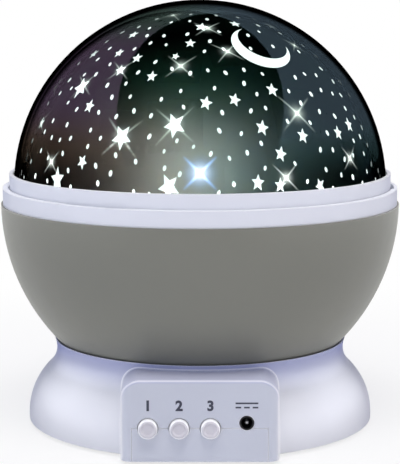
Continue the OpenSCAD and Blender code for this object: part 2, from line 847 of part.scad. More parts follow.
module compound_gear_2() {
    color("#e9e6dc") translate([gear_2_at[0], gear_2_at[1], 0]) {
        translate([0, 0, slow_z]) compound_gear(fast_module, gear_1_angle, ring_module,
            gear_2_angle, ring_gear_h);
        translate([0, 0, chassis_top + 0.2])
            washer(axle_r + 1.6, axle_r + running, slow_z - chassis_top - 0.2);
    }
}

module ring_gear() {
    root_r = ring_pitch_r + ring_module;
    tip_r = ring_pitch_r - 0.75 * ring_module;
    color("#e9e6dc") translate([0, 0, ring_gear_z]) difference() {
        cylinder(h = ring_gear_h, r = ring_gear_r);
        translate([0, 0, -1]) rotate([0, 0, gear_2_angle]) linear_extrude(ring_gear_h + 2)
            polygon(gear_points(ring_teeth, ring_pitch_r, tip_r, root_r,
                PI * ring_module / 2 + backlash));
        around(ring_screw_circle, [0, 120, 240]) translate([0, 0, 0.8])
            cylinder(h = ring_gear_h, r = fine_screw_r);
    }
}

module ring_gear_screws() {
    color(steel) around(ring_screw_circle, [0, 120, 240]) translate([0, 0, bowl_z + bowl_wall])
        pan_screw(fine_screw_r, bowl_wall + ring_gear_h - 1);
}

// ---------------------------------------------------------------- ball

// Half of the bowl's section, measured from the ball's centre.
module bowl_outline() {
    difference() {
        intersection() {
            circle(bowl_r);
            translate([0, -bowl_drop]) square([bowl_r, bowl_drop - rim_drop]);
        }
        intersection() {
            circle(bowl_r - bowl_wall);
            translate([0, bowl_wall - bowl_drop]) square([bowl_r, bowl_drop]);
        }
        translate([0, -bowl_drop - 1]) square([hub_bore_r, bowl_wall + 2]);
    }
    translate([hub_bore_r, hub_z - ball_z])
        square([hub_r - hub_bore_r, bowl_z + hub_rise - hub_z]);
}

module bowl() {
    color(grey) difference() {
        translate([0, 0, ball_z]) rotate_extrude() bowl_outline();
        around(ring_screw_circle, [0, 120, 240]) translate([0, 0, bowl_z - 1])
            cylinder(h = bowl_wall + 2, r = fine_screw_r);
    }
}

module rim_ring() {
    color(white) difference() {
        union() {
            translate([0, 0, rim_z]) washer(rim_ring_r, groove_r, rim_ring_h);
            translate([0, 0, rim_z]) washer(groove_r + 0.1, deck_r - deck_ledge, ring_plate);
            translate([0, 0, flange_z]) washer(groove_r + 0.1, lock_r + pass, ring_plate);
            translate([0, 0, rim_z - skirt_h]) washer(skirt_r, skirt_r - skirt_wall, skirt_h + 0.1);
            around(deck_screw_circle, deck_screw_angles) translate([0, 0, rim_z - skirt_h])
                cylinder(h = skirt_h + ring_plate, r = 2.4);
        }
        for (i = [0 : lug_count - 1]) rotate([0, 0, 360 / lug_count * i])
            translate([0, 0, plate_z]) wedge(groove_r, lug_angle + 3, rim_ring_h);
        around(deck_screw_circle, deck_screw_angles) translate([0, 0, rim_z - skirt_h + 1])
            cylinder(h = skirt_h + ring_plate, r = fine_screw_r);
    }
}

module inner_deck() {
    color(white) difference() {
        translate([0, 0, plate_z]) washer(deck_r, deck_hole_r, deck_t);
        around(deck_screw_circle, deck_screw_angles) translate([0, 0, plate_z - 1])
            cylinder(h = deck_t + 2, r = fine_screw_r);
    }
}

module deck_screws() {
    color(steel) around(deck_screw_circle, deck_screw_angles) translate([0, 0, plate_z + deck_t])
        pan_screw_small_head(fine_screw_r, deck_t + screw_bite);
}

// ---------------------------------------------------------------- dome

// Half of a round-topped shell: a quarter circle that runs down into a straight wall.
module shell_outline(outer, inner, foot) {
    difference() {
        union() {
            intersection() {
                circle(outer);
                square(outer);
            }
            translate([0, foot]) square([outer, -foot]);
        }
        circle(inner);
        translate([-1, foot - 1]) square([inner + 1, 1 - foot]);
    }
}

module star_dome() {
    foot = dome_foot_z - dome_z;
    color("#20262a") translate([0, 0, dome_z]) rotate_extrude() {
        shell_outline(dome_r, dome_in_r, foot);
        translate([dome_in_r, foot]) square([dome_flange_r - dome_in_r, dome_flange_h]);
    }
}

module star_film() {
    foot = film_z - dome_z;
    color("#31383c") translate([0, 0, dome_z]) rotate_extrude() {
        shell_outline(film_r, film_in_r, foot);
        translate([film_in_r, foot]) square([dome_in_r - film_in_r, 0.6]);
    }
}

module lock_ring() {
    shoulder_z = dome_foot_z + dome_flange_h + 0.2;
    color(white) {
        difference() {
            translate([0, 0, dome_foot_z])
                washer(lock_r, lock_bore_r, ring_top - dome_foot_z);
            translate([0, 0, dome_foot_z - 1])
                cylinder(h = shoulder_z - dome_foot_z + 1, r = dome_flange_r + fit);
        }
        for (i = [0 : lug_count - 1]) rotate([0, 0, 360 / lug_count * i])
            translate([0, 0, dome_foot_z + 0.1]) intersection() {
                washer(lug_r, lock_r - 0.3, flange_z - dome_foot_z - 0.1 - pass);
                wedge(lug_r + 1, lug_angle, 5);
            }
    }
}

// ---------------------------------------------------------------- controls

module control_board() {
    color(green_board) difference() {
        translate([-board_w / 2, -board_y, cover_top + fit])
            cube([board_w, board_t, panel_top - panel_wall - 1.5 - cover_top]);
        translate([0, board_t + 1, 0]) board_screw_places() cylinder(h = board_t + 2, r = fine_screw_r);
    }
}

// The driver chip, a capacitor and a resistor on the front of the board, above the switches.
module board_parts() {
    part_z = seam_z + button_r + 4;
    color("#222326") translate([0, -board_y, part_z]) {
        translate([-3, -1.6, 0]) cube([8, 1.6, 4.5]);
        translate([-9, 0, 2.2]) rotate([90, 0, 0]) cylinder(h = 5, r = 2.2);
        translate([8, -0.6, 1.6]) cube([3.2, 0.6, 1.6]);
    }
}

module board_screws() {
    color(steel) translate([0, board_t, 0]) board_screw_places()
        rotate([180, 0, 0]) pan_screw(fine_screw_r, board_t + screw_bite);
}

// Places of the three push switches on the board: the children's +Z points to the front.
module switch_place(x) {
    translate([x, -board_y, seam_z]) rotate([90, 0, 0]) children();
}

module tact_switches() {
    color("#26272a") for (x = button_xs) switch_place(x) difference() {
        translate([-switch_w / 2, -switch_w / 2, 0]) cube([switch_w, switch_w, switch_h]);
        translate([0, 0, 0.8]) cylinder(h = switch_h, r = plunger_r + running, $fn = 48);
    }
}

module switch_plunger(x) {
    color("#d8d3c4") switch_place(x) translate([0, 0, 1.8])
        cylinder(h = plunger_top - 1.8, r = plunger_r, $fn = 48);
}

module switch_plunger_1() { switch_plunger(button_xs[0]); }
module switch_plunger_2() { switch_plunger(button_xs[1]); }
module switch_plunger_3() { switch_plunger(button_xs[2]); }

// Half of a button's outline: a stem on the switch, a flange behind the face, a bevelled cap with
// a shallow hollow for the finger.
module button_outline() {
    back = board_depth - pass - 1;
    top = board_depth + panel_wall + button_out;
    polygon([[0, plunger_top], [button_stem_r, plunger_top], [button_stem_r, back],
        [button_r + button_flange, back], [button_r + button_flange, back + 1], [button_r, back + 1],
        [button_r, top - button_bevel], [button_r - button_bevel, top],
        [dish_r + dish_depth, top], [dish_r, top - dish_depth], [0, top - dish_depth]]);
}

module button(x) {
    color(white) switch_place(x) rotate_extrude() button_outline();
}

module button_1() { button(button_xs[0]); }
module button_2() { button(button_xs[1]); }
module button_3() { button(button_xs[2]); }

// The power socket: a barrel in the face and a box on the board.
module dc_jack() {
    face = board_depth + panel_wall;
    color("#17181a") translate([jack_x, -board_y, jack_z]) rotate([90, 0, 0]) difference() {
        union() {
            cylinder(h = face, r = jack_r);
            translate([-jack_body_w / 2, -jack_body_w / 2, 0])
                cube([jack_body_w, jack_body_w, board_depth]);
        }
        translate([0, 0, jack_floor]) cylinder(h = face, r = jack_bore_r);
    }
}

module dc_jack_pin() {
    tip = board_depth + panel_wall - 0.6;
    color("#d8dade") translate([jack_x, -board_y, jack_z]) rotate([90, 0, 0]) {
        translate([0, 0, jack_floor]) cylinder(h = tip - jack_floor - 0.3, r = jack_pin_r, $fn = 48);
        translate([0, 0, tip - 0.3]) cylinder(h = 0.3, r1 = jack_pin_r, r2 = jack_pin_r - 0.3, $fn = 48);
    }
}

// ---------------------------------------------------------------- power

// Turns the children so that their +Z points along the cell's plus end; cells alternate.
module cell_place(i) {
    translate([0, cell_ys[i], cell_z]) rotate([0, i % 2 == 0 ? 90 : -90, 0]) children();
}

module battery_cells() {
    color("#c9a53a") for (i = [0 : cell_count - 1]) cell_place(i) {
        translate([0, 0, -cell_l / 2]) cylinder(h = cell_l - nipple_l, r = cell_r);
        cylinder(h = cell_l / 2, r = nipple_r);
    }
}

// A conical wire spring between the end plate and the minus end of a cell.
function spring_point(turn, length) =
    let (t = turn / spring_turns, r = spring_r + (spring_top_r - spring_r) * t)
        [r * cos(360 * turn), r * sin(360 * turn), spring_wire_r + t * (length - 2 * spring_wire_r)];

function spring_ring(turn, length, sides) =
    let (p = spring_point(turn, length), a = 360 * turn,
        out = [cos(a), sin(a), 0], up = [0, 0, 1])
        [for (k = [0 : sides - 1]) p + spring_wire_r * (cos(360 * k / sides) * out
            + sin(360 * k / sides) * up)];

module spring(length) {
    sides = 6;
    steps = spring_turns * 10;
    points = [for (i = [0 : steps]) each spring_ring(i / 10, length, sides)];
    polyhedron(points, tube_faces(steps + 1, sides));
}

module battery_springs() {
    room = contact_room - contact_t;
    color(steel) for (i = [0 : cell_count - 1]) cell_place(i)
        translate([0, 0, -cell_l / 2 - room]) spring(room);
}

// An end plate that serves the cells from number first to number last.
module contact_plate(side, first, last) {
    low = cell_ys[first] - contact_w / 2;
    translate([side > 0 ? box_x - contact_t : -box_x, low, cell_z - contact_w / 2])
        cube([contact_t, cell_ys[last] - cell_ys[first] + contact_w, contact_w]);
}

module battery_contacts() {
    room = contact_room - contact_t;
    color(brass) {
        for (i = [0 : 2 : cell_count - 1])
            contact_plate(1, i, min(i + 1, cell_count - 1));
        contact_plate(-1, 0, 0);
        for (i = [1 : 2 : cell_count - 1])
            contact_plate(-1, i, min(i + 1, cell_count - 1));
        for (i = [0 : cell_count - 1]) cell_place(i) translate([0, 0, cell_l / 2])
            cylinder(h = room, r1 = nipple_r, r2 = nipple_r + 1.5);
    }
}

module battery_cable() {
    high = roof_z - 2;
    low = seam_z - 2;
    box_wall_y = box_front - box_wall;
    board_back = board_t - board_y;
    from_x = box_x - 6;
    to_x = board_w / 2 - 5.5;
    color("#b03030") lead([[from_x, box_wall_y, high], [from_x, box_wall_y - 3, high],
        [to_x, board_back + 4, low], [to_x, board_back, low]], lead_r);
}

module battery_door() {
    color(base_white) {
        translate([-door_x, door_front, base_z]) cube([2 * door_x, hinge_y - door_front, door_t]);
        translate([-door_x, hinge_y, hinge_z]) rotate([0, 90, 0])
            cylinder(h = 2 * door_x, r = door_t / 2);
        translate([-door_x - pin_l, hinge_y, hinge_z]) rotate([0, 90, 0])
            cylinder(h = 2 * (door_x + pin_l), r = door_pin_r, $fn = 48);
        translate([-6, box_front + fit, door_top - 0.1]) cube([12, 1, 1.9]);
    }
}

base_shell();
bottom_cover();
rubber_feet();
base_screws();
chassis_plate();
chassis_screws();
lamp_post();
post_screws();
thrust_washer();
retaining_clip();
led_holder();
led_board();
led_board_screws();
led_warm();
led_blue();
led_green();
led_red();
led_cable();
motor();
motor_screws();
motor_shaft();
motor_pinion();
motor_cable();
gear_axles();
compound_gear_1();
compound_gear_2();
bowl();
ring_gear();
ring_gear_screws();
rim_ring();
inner_deck();
deck_screws();
star_dome();
star_film();
lock_ring();
control_board();
board_parts();
board_screws();
tact_switches();
switch_plunger_1();
switch_plunger_2();
switch_plunger_3();
button_1();
button_2();
button_3();
dc_jack();
dc_jack_pin();
battery_cells();
battery_springs();
battery_contacts();
battery_cable();
battery_door();
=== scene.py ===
# %% [markdown]
# # A star night light
# The lamp is a ball that turns on a flared base: a grey bowl, two white rings, and a smoked dome
# over a film that is printed with stars. The engineering model already holds every solid piece,
# so this lesson adds what the eye needs: finishes, print, light and a camera.
# The engineering model comes first and is never moved, because every new piece is placed on it.

# %% Load the engineering model
import json
import math

import bpy
import numpy as np
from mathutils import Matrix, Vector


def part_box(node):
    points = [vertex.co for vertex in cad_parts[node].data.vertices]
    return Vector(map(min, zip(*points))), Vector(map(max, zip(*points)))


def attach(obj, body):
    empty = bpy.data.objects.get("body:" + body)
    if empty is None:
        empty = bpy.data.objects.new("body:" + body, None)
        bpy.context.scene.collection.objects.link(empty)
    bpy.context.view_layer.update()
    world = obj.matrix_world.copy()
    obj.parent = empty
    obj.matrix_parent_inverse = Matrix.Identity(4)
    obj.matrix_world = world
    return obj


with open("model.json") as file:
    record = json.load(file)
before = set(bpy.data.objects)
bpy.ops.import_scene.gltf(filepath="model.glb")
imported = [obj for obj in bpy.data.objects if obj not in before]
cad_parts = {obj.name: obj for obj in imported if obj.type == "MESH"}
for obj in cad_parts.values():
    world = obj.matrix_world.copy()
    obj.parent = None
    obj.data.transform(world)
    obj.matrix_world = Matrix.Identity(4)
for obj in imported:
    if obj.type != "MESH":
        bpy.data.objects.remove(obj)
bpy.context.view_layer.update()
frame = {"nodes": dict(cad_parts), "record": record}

MM = 0.001
print("pieces in the engineering model:", len(frame["nodes"]))

# %% [markdown]
# ## Camera
# A product view from the front and slightly above. A long lens from half a metre away keeps the
# ball round. The camera's numbers are the lens in millimetres, its place and its downward tilt;
# it could also be aimed with a constraint, but plain numbers are easier to check.

# %% Place the camera
LENS_MM = 129.4
SENSOR_MM = 36
CAMERA_DISTANCE = 0.5443
CAMERA_HEIGHT = 0.1424
CAMERA_TILT = 0.147
CLIP_NEAR, CLIP_FAR = 0.01, 50

scene = bpy.context.scene
camera_data = bpy.data.cameras.new("camera")
camera_data.lens = LENS_MM
camera_data.sensor_width = SENSOR_MM
camera_data.clip_start = CLIP_NEAR
camera_data.clip_end = CLIP_FAR
camera = bpy.data.objects.new("camera", camera_data)
camera.location = (0, -CAMERA_DISTANCE, CAMERA_HEIGHT)
camera.rotation_euler = (math.pi / 2 - CAMERA_TILT, 0, 0)
scene.collection.objects.link(camera)
scene.camera = camera
scene.view_settings.view_transform = "Standard"
print("camera looks down by", round(math.degrees(CAMERA_TILT), 1), "degrees")

# %% [markdown]
# ## Small helpers
# Colours are written as the hex values that a paint program shows, and Blender works in linear
# light, so one function converts them. A second one adds a shader node with its settings and
# links, which keeps each material short enough to read. A third starts a material, and a fourth
# turns the size of a grain in millimetres into the scale of a texture.


# %% Define the helpers
def linear(code, strength=1.0):
    """Turns an sRGB hex colour into linear RGBA: a straight line below 0.04045, and a 2.4 power
    above it. The strength multiplies red, green and blue."""
    value = np.array([int(code[i : i + 2], 16) for i in (1, 3, 5)]) / 255
    value = np.where(value <= 0.04045, value / 12.92, ((value + 0.055) / 1.055) ** 2.4)
    return (*(float(v) * strength for v in value), 1.0)


def add(tree, kind, inputs=None, **settings):
    """Adds a shader node; kind is its type without the word ShaderNode in front. An input is a
    value, a node (its first output) or (node, output name)."""
    made = tree.nodes.new("ShaderNode" + kind)
    for name, value in settings.items():
        setattr(made, name, value)
    for name, value in (inputs or {}).items():
        socket = made.inputs[name]
        if isinstance(value, bpy.types.Node):
            tree.links.new(value.outputs[0], socket)
        elif isinstance(value, tuple) and isinstance(value[0], bpy.types.Node):
            tree.links.new(value[0].outputs[value[1]], socket)
        else:
            socket.default_value = value
    return made


def start_material(name):
    """An empty node material: returns it with its tree and its output node."""
    material = bpy.data.materials.new(name)
    material.use_nodes = True
    tree = material.node_tree
    tree.nodes.clear()
    return material, tree, tree.nodes.new("ShaderNodeOutputMaterial")


def per_mm(size_mm):
    """The scale of a texture on Object coordinates, in metres, whose grains are size_mm across."""
    return 1000.0 / size_mm


# Settings that many nodes share: a range with soft ends, and a mix of two colours.
SOFT_STEP = {"interpolation_type": "SMOOTHSTEP"}
COLOURS = {"data_type": "RGBA"}
print("a middle grey in linear light:", [round(v, 3) for v in linear("#808080")])

# %% [markdown]
# ## Floor
# A wide pale disc. A studio would use a white sweep, which the light turns into a white
# background. Here the disc is white to the camera and in reflections, with the lamp's soft
# shadow kept in it, and to soft light it is an ordinary pale card that bounces some light up.


# %% Make the floor
def disc_points(radius, rings, sides):
    """A flat disc: point (i, k) lies at radius * (i / rings)^2 in direction k / sides of a turn."""
    r = radius * (np.arange(1, rings + 1) / rings) ** 2
    a = np.arange(sides) * 2 * np.pi / sides
    grid = np.stack([np.outer(r, np.cos(a)), np.outer(r, np.sin(a)), np.zeros((rings, sides))], -1)
    return grid.reshape(-1, 3)


def ring_quads(rings, sides, start=0):
    """The quads between neighbouring rings of points, each ring closed on itself."""
    i, k = np.meshgrid(np.arange(rings - 1), np.arange(sides), indexing="ij")
    n = (k + 1) % sides
    quads = np.stack([i * sides + k, (i + 1) * sides + k, (i + 1) * sides + n, i * sides + n], -1)
    return (quads.reshape(-1, 4) + start).tolist()


def make_piece(name, points, faces, smooth=True):
    """Puts points in metres and faces into a mesh object that sits at the origin."""
    mesh = bpy.data.meshes.new(name)
    mesh.from_pydata(np.asarray(points, float).tolist(), [], faces)
    mesh.polygons.foreach_set("use_smooth", np.full(len(mesh.polygons), smooth))
    mesh.update()
    piece = bpy.data.objects.new(name, mesh)
    scene.collection.objects.link(piece)
    return piece


FLOOR_RADIUS = 14.0
FLOOR_RINGS, FLOOR_SIDES = 12, 64
floor_points = np.vstack([[[0, 0, 0]], disc_points(FLOOR_RADIUS, FLOOR_RINGS, FLOOR_SIDES)])
floor_faces = [[0, 1 + k, 1 + (k + 1) % FLOOR_SIDES] for k in range(FLOOR_SIDES)]
floor_faces += ring_quads(FLOOR_RINGS, FLOOR_SIDES, start=1)
floor = make_piece("floor", floor_points, floor_faces)
print("floor faces:", len(floor_faces))

# %% Give the floor its white card
# The white's share is NEAR_SHARE under the lamp and grows to 1 at SHADOW_REACH metres from it.
NEAR_SHARE = 0.74
SHADOW_START, SHADOW_REACH = 0.06, 0.28

material, tree, out = start_material("white card, matt")
path = add(tree, "LightPath")
seen = add(
    tree, "Math", {0: (path, "Is Camera Ray"), 1: (path, "Is Glossy Ray")}, operation="MAXIMUM"
)
seen = add(tree, "Math", {0: seen, 1: (path, "Is Transmission Ray")}, operation="MAXIMUM")
card = add(tree, "BsdfDiffuse", {"Color": linear("#F4F4F6")})
white = add(tree, "Emission", {"Color": (1, 1, 1, 1), "Strength": 1.0})
place = (add(tree, "TexCoord"), "Object")
reach = add(tree, "VectorMath", {0: place}, operation="LENGTH")
far = add(
    tree,
    "MapRange",
    {
        "Value": (reach, "Value"),
        "From Min": SHADOW_START,
        "From Max": SHADOW_REACH,
        "To Min": NEAR_SHARE,
    },
    **SOFT_STEP,
)
share = add(tree, "Math", {0: seen, 1: far}, operation="MULTIPLY")
both = add(tree, "MixShader", {0: share, 1: card, 2: white})
tree.links.new(both.outputs[0], out.inputs["Surface"])
floor.data.materials.append(material)
print("the shadow fades out at", SHADOW_REACH, "m from the middle")

# %% [markdown]
# ## Light
# Two tall softboxes stand left and right of the lamp and lean over it. A polished dome shows
# them as two tinted panes with a dark gap between, and the satin plastics show them as soft
# side lights. They could be area lamps, but each is wide enough to fill a third of the room, so
# they are painted into the world: a direction belongs to a softbox when it lies on the lit side
# of a plane through the lamp.

# %% Start the world
GLOSS_BOOST = 4.0

world = bpy.data.worlds.new("studio")
scene.world = world
world.use_nodes = True
tree = world.node_tree
tree.nodes.clear()
out = tree.nodes.new("ShaderNodeOutputWorld")
direction = (add(tree, "TexCoord"), "Generated")
path = add(tree, "LightPath")
print("softboxes are", GLOSS_BOOST, "times as bright in gloss as their white")


# %% Paint the softboxes
def lit_side(plane, low, high):
    """How far a direction lies on the lit side of a plane, as a soft step from low to high."""
    side = add(tree, "VectorMath", {0: direction, 1: plane}, operation="DOT_PRODUCT")
    return add(
        tree, "MapRange", {"Value": (side, "Value"), "From Min": low, "From Max": high}, **SOFT_STEP
    )


def softbox(plane, back):
    """One softbox: lit beyond its front plane, dark again behind the lamp, stronger in gloss."""
    shape = add(
        tree,
        "Math",
        {0: lit_side(plane, -0.005, 0.015), 1: lit_side((0, -1, 0), *back)},
        operation="MULTIPLY",
    )
    colour = add(
        tree,
        "Mix",
        {
            "Factor": (path, "Is Glossy Ray"),
            6: linear("#A8A59E"),
            7: linear("#F8F9FF", GLOSS_BOOST),
        },
        **COLOURS,
    )
    return add(tree, "VectorMath", {0: (colour, 2), "Scale": shape}, operation="SCALE")


# A softbox's front plane by its normal, and where it ends behind, as a soft step along -y.
LEFT_PLANE, LEFT_BACK = (-0.687, 0.515, -0.513), (-0.86, -0.74)
RIGHT_PLANE, RIGHT_BACK = (0.692, 0.477, -0.542), (-0.93, -0.85)

left_box = softbox(LEFT_PLANE, LEFT_BACK)
right_box = softbox(RIGHT_PLANE, RIGHT_BACK)
boxes = add(tree, "VectorMath", {0: left_box, 1: right_box}, operation="ADD")
print("nodes of the softboxes:", len(tree.nodes))

# %% Add the dim room and the white behind
ambient = add(
    tree,
    "Mix",
    {"Factor": (path, "Is Glossy Ray"), 6: linear("#5E668C"), 7: linear("#101014")},
    **COLOURS,
)
room = add(tree, "VectorMath", {0: boxes, 1: (ambient, 2)}, operation="ADD")
behind = add(
    tree,
    "Math",
    {0: (path, "Is Camera Ray"), 1: (path, "Is Transmission Ray")},
    operation="MAXIMUM",
)
colour = add(tree, "Mix", {"Factor": behind, 6: room, 7: (1, 1, 1, 1)}, **COLOURS)
background = add(tree, "Background", {"Color": (colour, 2), "Strength": 1.0})
tree.links.new(background.outputs[0], out.inputs["Surface"])
print("world nodes:", len(tree.nodes))

# %% [markdown]
# Four area lamps give the plain level: a wide one overhead, a faint one in front, and one at each
# side, which lights the flanks of the base. They could be two, but then the base's sides go
# grey. They are hidden from reflections, because the gloss is to show the softboxes alone.


# %% Hang the area lamps
def area_lamp(name, place, aim, size, watts, colour):
    """A square softbox lamp at place, turned to aim, hidden from reflections."""
    data = bpy.data.lights.new(name, "AREA")
    data.size = size
    data.energy = watts
    data.color = linear(colour)[:3]
    lamp = bpy.data.objects.new(name, data)
    lamp.location = place
    way = np.array(aim, float) - np.array(place, float)
    lamp.rotation_euler = (
        math.acos(-way[2] / np.linalg.norm(way)),
        0,
        math.atan2(way[1], way[0]) - math.pi / 2,
    )
    lamp.visible_glossy = False
    scene.collection.objects.link(lamp)


# Each row: name, place and aim in metres, size in metres, watts, colour.
AREA_LAMPS = [
    ("lamp_overhead", (0.0, -0.35, 1.1), (0, 0, 0.05), 0.6, 9.0, "#FFFBF2"),
    ("lamp_front", (0.0, -1.3, 0.35), (0, 0, 0.05), 0.8, 0.3, "#FFFBF2"),
    ("lamp_left", (-0.72, -0.85, 0.45), (0, 0, 0.03), 0.5, 1.9, "#E6F2FF"),
    ("lamp_right", (0.72, -0.85, 0.45), (0, 0, 0.03), 0.5, 1.6, "#FFFBF2"),
]
for row in AREA_LAMPS:
    area_lamp(*row)
print("area lamps:", len(AREA_LAMPS), "with", round(sum(row[4] for row in AREA_LAMPS), 1), "watts")

# %% [markdown]
# The lamp's own light is a spot lamp in the lens of the warm LED, which shines up through the
# film. A glowing lens would do the same with far more grain in the picture.

# %% Light the warm LED
STAR_WATTS = 0.0165
STAR_SPOT_MM = 0.6
STAR_ASIDE_MM, STAR_UP_MM = 1.0, 1.4
STAR_BLEND = 0.02

lamp_data = bpy.data.lights.new("star_lamp", "SPOT")
lamp_data.energy = STAR_WATTS
lamp_data.color = linear("#E2EEFF")[:3]
lamp_data.shadow_soft_size = STAR_SPOT_MM * MM
lamp_data.spot_size = math.radians(180)
lamp_data.spot_blend = STAR_BLEND
star_lamp = bpy.data.objects.new("star_lamp", lamp_data)
low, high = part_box("led_warm")
star_lamp.location = (
    (low[0] + high[0]) / 2 + STAR_ASIDE_MM * MM,
    (low[1] + high[1]) / 2,
    low[2] + STAR_UP_MM * MM,
)
star_lamp.rotation_euler = (math.pi, 0, 0)
scene.collection.objects.link(star_lamp)

# %% [markdown]
# ## Moulded plastics
# The base, the rings, the bowl and the buttons are injection-moulded ABS. A polished mould gives
# a satin gloss with a very faint orange peel about a millimetre across, and a colour that is
# even but for slow, slight changes where the melt cooled unevenly. One function makes them all,
# because they differ only in colour, gloss and grain. Real edges are never sharp, so a Bevel
# node rounds the shading of each edge by a fraction of a millimetre; cutting real roundings into
# every solid would cost many faces for a line that is one or two pixels wide.

# %% [markdown]
# Round the base's control panel, light and shade are painted into the colour: two pale lines
# follow the panel's outline as painted highlights, its face is painted darker and cooler as
# painted shade, and the neck above is painted bluer as the shade under the bowl. All of these
# could be painted by hand on a texture, but the distance to the outline is a short formula that
# stays sharp at any size.

# %% Measure the distance to the panel's outline
# The panel's half width, its top and its corner radius, and the y in front of which it lies.
PANEL_HALF, PANEL_TOP, PANEL_CORNER = 23.95, 25.95, 6.0
PANEL_FRONT = -20


def panel_outline(tree, place):
    """The distance to the panel's outline, below zero inside it, and 1 on the base's front, else 0.
    With p = (|x|, z) and q = p - (half width - r, top - r), the distance is
    |max(q, 0)| + min(max(q.x, q.z), 0) - r."""
    corner = ((PANEL_HALF - PANEL_CORNER) * MM, 0, (PANEL_TOP - PANEL_CORNER) * MM)
    flat = add(tree, "VectorMath", {0: place, 1: (1, 0, 1)}, operation="MULTIPLY")
    p = add(tree, "VectorMath", {0: flat}, operation="ABSOLUTE")
    q = add(tree, "VectorMath", {0: p, 1: corner}, operation="SUBTRACT")
    beyond = add(tree, "VectorMath", {0: q, 1: (0, 0, 0)}, operation="MAXIMUM")
    outer = add(tree, "VectorMath", {0: beyond}, operation="LENGTH")
    q_xyz = add(tree, "SeparateXYZ", {0: q})
    longer = add(tree, "Math", {0: (q_xyz, "X"), 1: (q_xyz, "Z")}, operation="MAXIMUM")
    inner = add(tree, "Math", {0: longer, 1: 0.0}, operation="MINIMUM")
    both = add(tree, "Math", {0: (outer, "Value"), 1: inner}, operation="ADD")
    distance = add(tree, "Math", {0: both, 1: PANEL_CORNER * MM}, operation="SUBTRACT")
    y = (add(tree, "SeparateXYZ", {0: place}), "Y")
    in_front = add(tree, "Math", {0: y, 1: PANEL_FRONT * MM}, operation="LESS_THAN")
    return distance, in_front


print("the panel's outline is", 2 * PANEL_HALF, "mm wide and", PANEL_TOP, "mm high")

# %% Paint the two highlight lines round the panel
# Each row is a painted highlight line: its middle outside the outline and its half width in mm,
# and its strength.
PAINTED_HIGHLIGHT_LINES = ((-0.25, 0.45, 0.65), (0.35, 0.32, 0.75))


def outline_lines(tree, distance, in_front):
    """Two painted highlight lines round the panel: one on the rounded edge just inside its outline,
    the other on the base just outside it. Each fades from its strength to zero over its half width."""
    lines = []
    for middle, half, strength in PAINTED_HIGHLIGHT_LINES:
        off = add(tree, "Math", {0: distance, 1: middle * MM}, operation="SUBTRACT")
        off = add(tree, "Math", {0: off}, operation="ABSOLUTE")
        line = add(
            tree,
            "MapRange",
            {"Value": off, "From Max": half * MM, "To Min": strength, "To Max": 0.0},
            **SOFT_STEP,
        )
        lines.append(line)
    both = add(tree, "Math", {0: lines[0], 1: lines[1]}, operation="MAXIMUM")
    return add(tree, "Math", {0: both, 1: in_front}, operation="MULTIPLY")


print("pale lines round the panel:", len(PAINTED_HIGHLIGHT_LINES))

# %% Paint shade on the base's neck and panel face
# Distances to the outline between which the face's painted shade begins, and the heights over
# which the neck's painted shade grows.
FACE_EDGE = (-1.2, -0.3)
NECK_LOW, NECK_HIGH = 17, 27.5


def base_tone(tree, place, distance, in_front, tone):
    """Painted shade: the neck, in the shade of the bowl, is painted bluer and deeper, and the
    panel's face is painted a little darker and cooler."""
    inside = add(
        tree,
        "MapRange",
        {
            "Value": distance,
            "From Min": FACE_EDGE[0] * MM,
            "From Max": FACE_EDGE[1] * MM,
            "To Min": 1.0,
            "To Max": 0.0,
        },
        **SOFT_STEP,
    )
    inside = add(tree, "Math", {0: inside, 1: in_front}, operation="MULTIPLY")
    z = (add(tree, "SeparateXYZ", {0: place}), "Z")
    high = add(
        tree,
        "MapRange",
        {"Value": z, "From Min": NECK_LOW * MM, "From Max": NECK_HIGH * MM},
        **SOFT_STEP,
    )
    off_face = add(tree, "Math", {0: 1.0, 1: inside}, operation="SUBTRACT")
    neck = add(tree, "Math", {0: high, 1: off_face}, operation="MULTIPLY")
    # Painted shade: the neck goes towards a deeper blue.
    tone = add(tree, "Mix", {"Factor": neck, 6: (tone, 2), 7: linear("#A5AACD")}, **COLOURS)
    # Painted shade: the panel's face is multiplied a little darker and cooler.
    return add(
        tree,
        "Mix",
        {"Factor": inside, 6: (tone, 2), 7: linear("#E4E7EE")},
        **COLOURS,
        blend_type="MULTIPLY",
    )


print("the neck's tone grows over", NECK_HIGH - NECK_LOW, "mm")


# %% Paint a highlight on a button's rim and fade the gloss
def pale_rim(tree, place, true_normal, rim_y):
    """A painted highlight, up to 0.9, on a button's rounded rim, where the surface turns away from
    the front. Only what lies behind rim_y counts, so the button's flat end and its very edge stay
    as they are."""
    y = (add(tree, "SeparateXYZ", {0: place}), "Y")
    behind = add(tree, "Math", {0: y, 1: rim_y}, operation="GREATER_THAN")
    front = add(tree, "VectorMath", {0: true_normal, 1: (0, -1, 0)}, operation="DOT_PRODUCT")
    turned = add(
        tree,
        "MapRange",
        {"Value": (front, "Value"), "From Min": 0.99, "From Max": 0.9, "To Max": 0.9},
    )
    return add(tree, "Math", {0: turned, 1: behind}, operation="MULTIPLY")


def kept_gloss(tree, grazing):
    """The share of the gloss that is kept: 1 where the surface faces the eye, and grazing where
    it turns away. The fine grain of a satin mould scatters what a smooth one would mirror there."""
    facing = add(tree, "LayerWeight", {"Blend": 0.5})
    return add(
        tree,
        "MapRange",
        {
            "Value": (facing, "Facing"),
            "From Min": 0.35,
            "From Max": 0.8,
            "To Min": 1.0,
            "To Max": grazing,
        },
        **SOFT_STEP,
    )


RIM_START = float(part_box("button_1")[0][1]) + 0.3 * MM
print("a button's rim starts at y =", round(RIM_START / MM, 2), "mm")

# %% Define the moulded ABS
# The sizes of the colour's drift, of the rubbed gloss and of the orange peel, in millimetres.
DRIFT_MM, RUB_MM, PEEL_MM = 35, 6, 1.1
PEEL_DEPTH_MM = 0.02
PLASTIC_IOR = 1.53


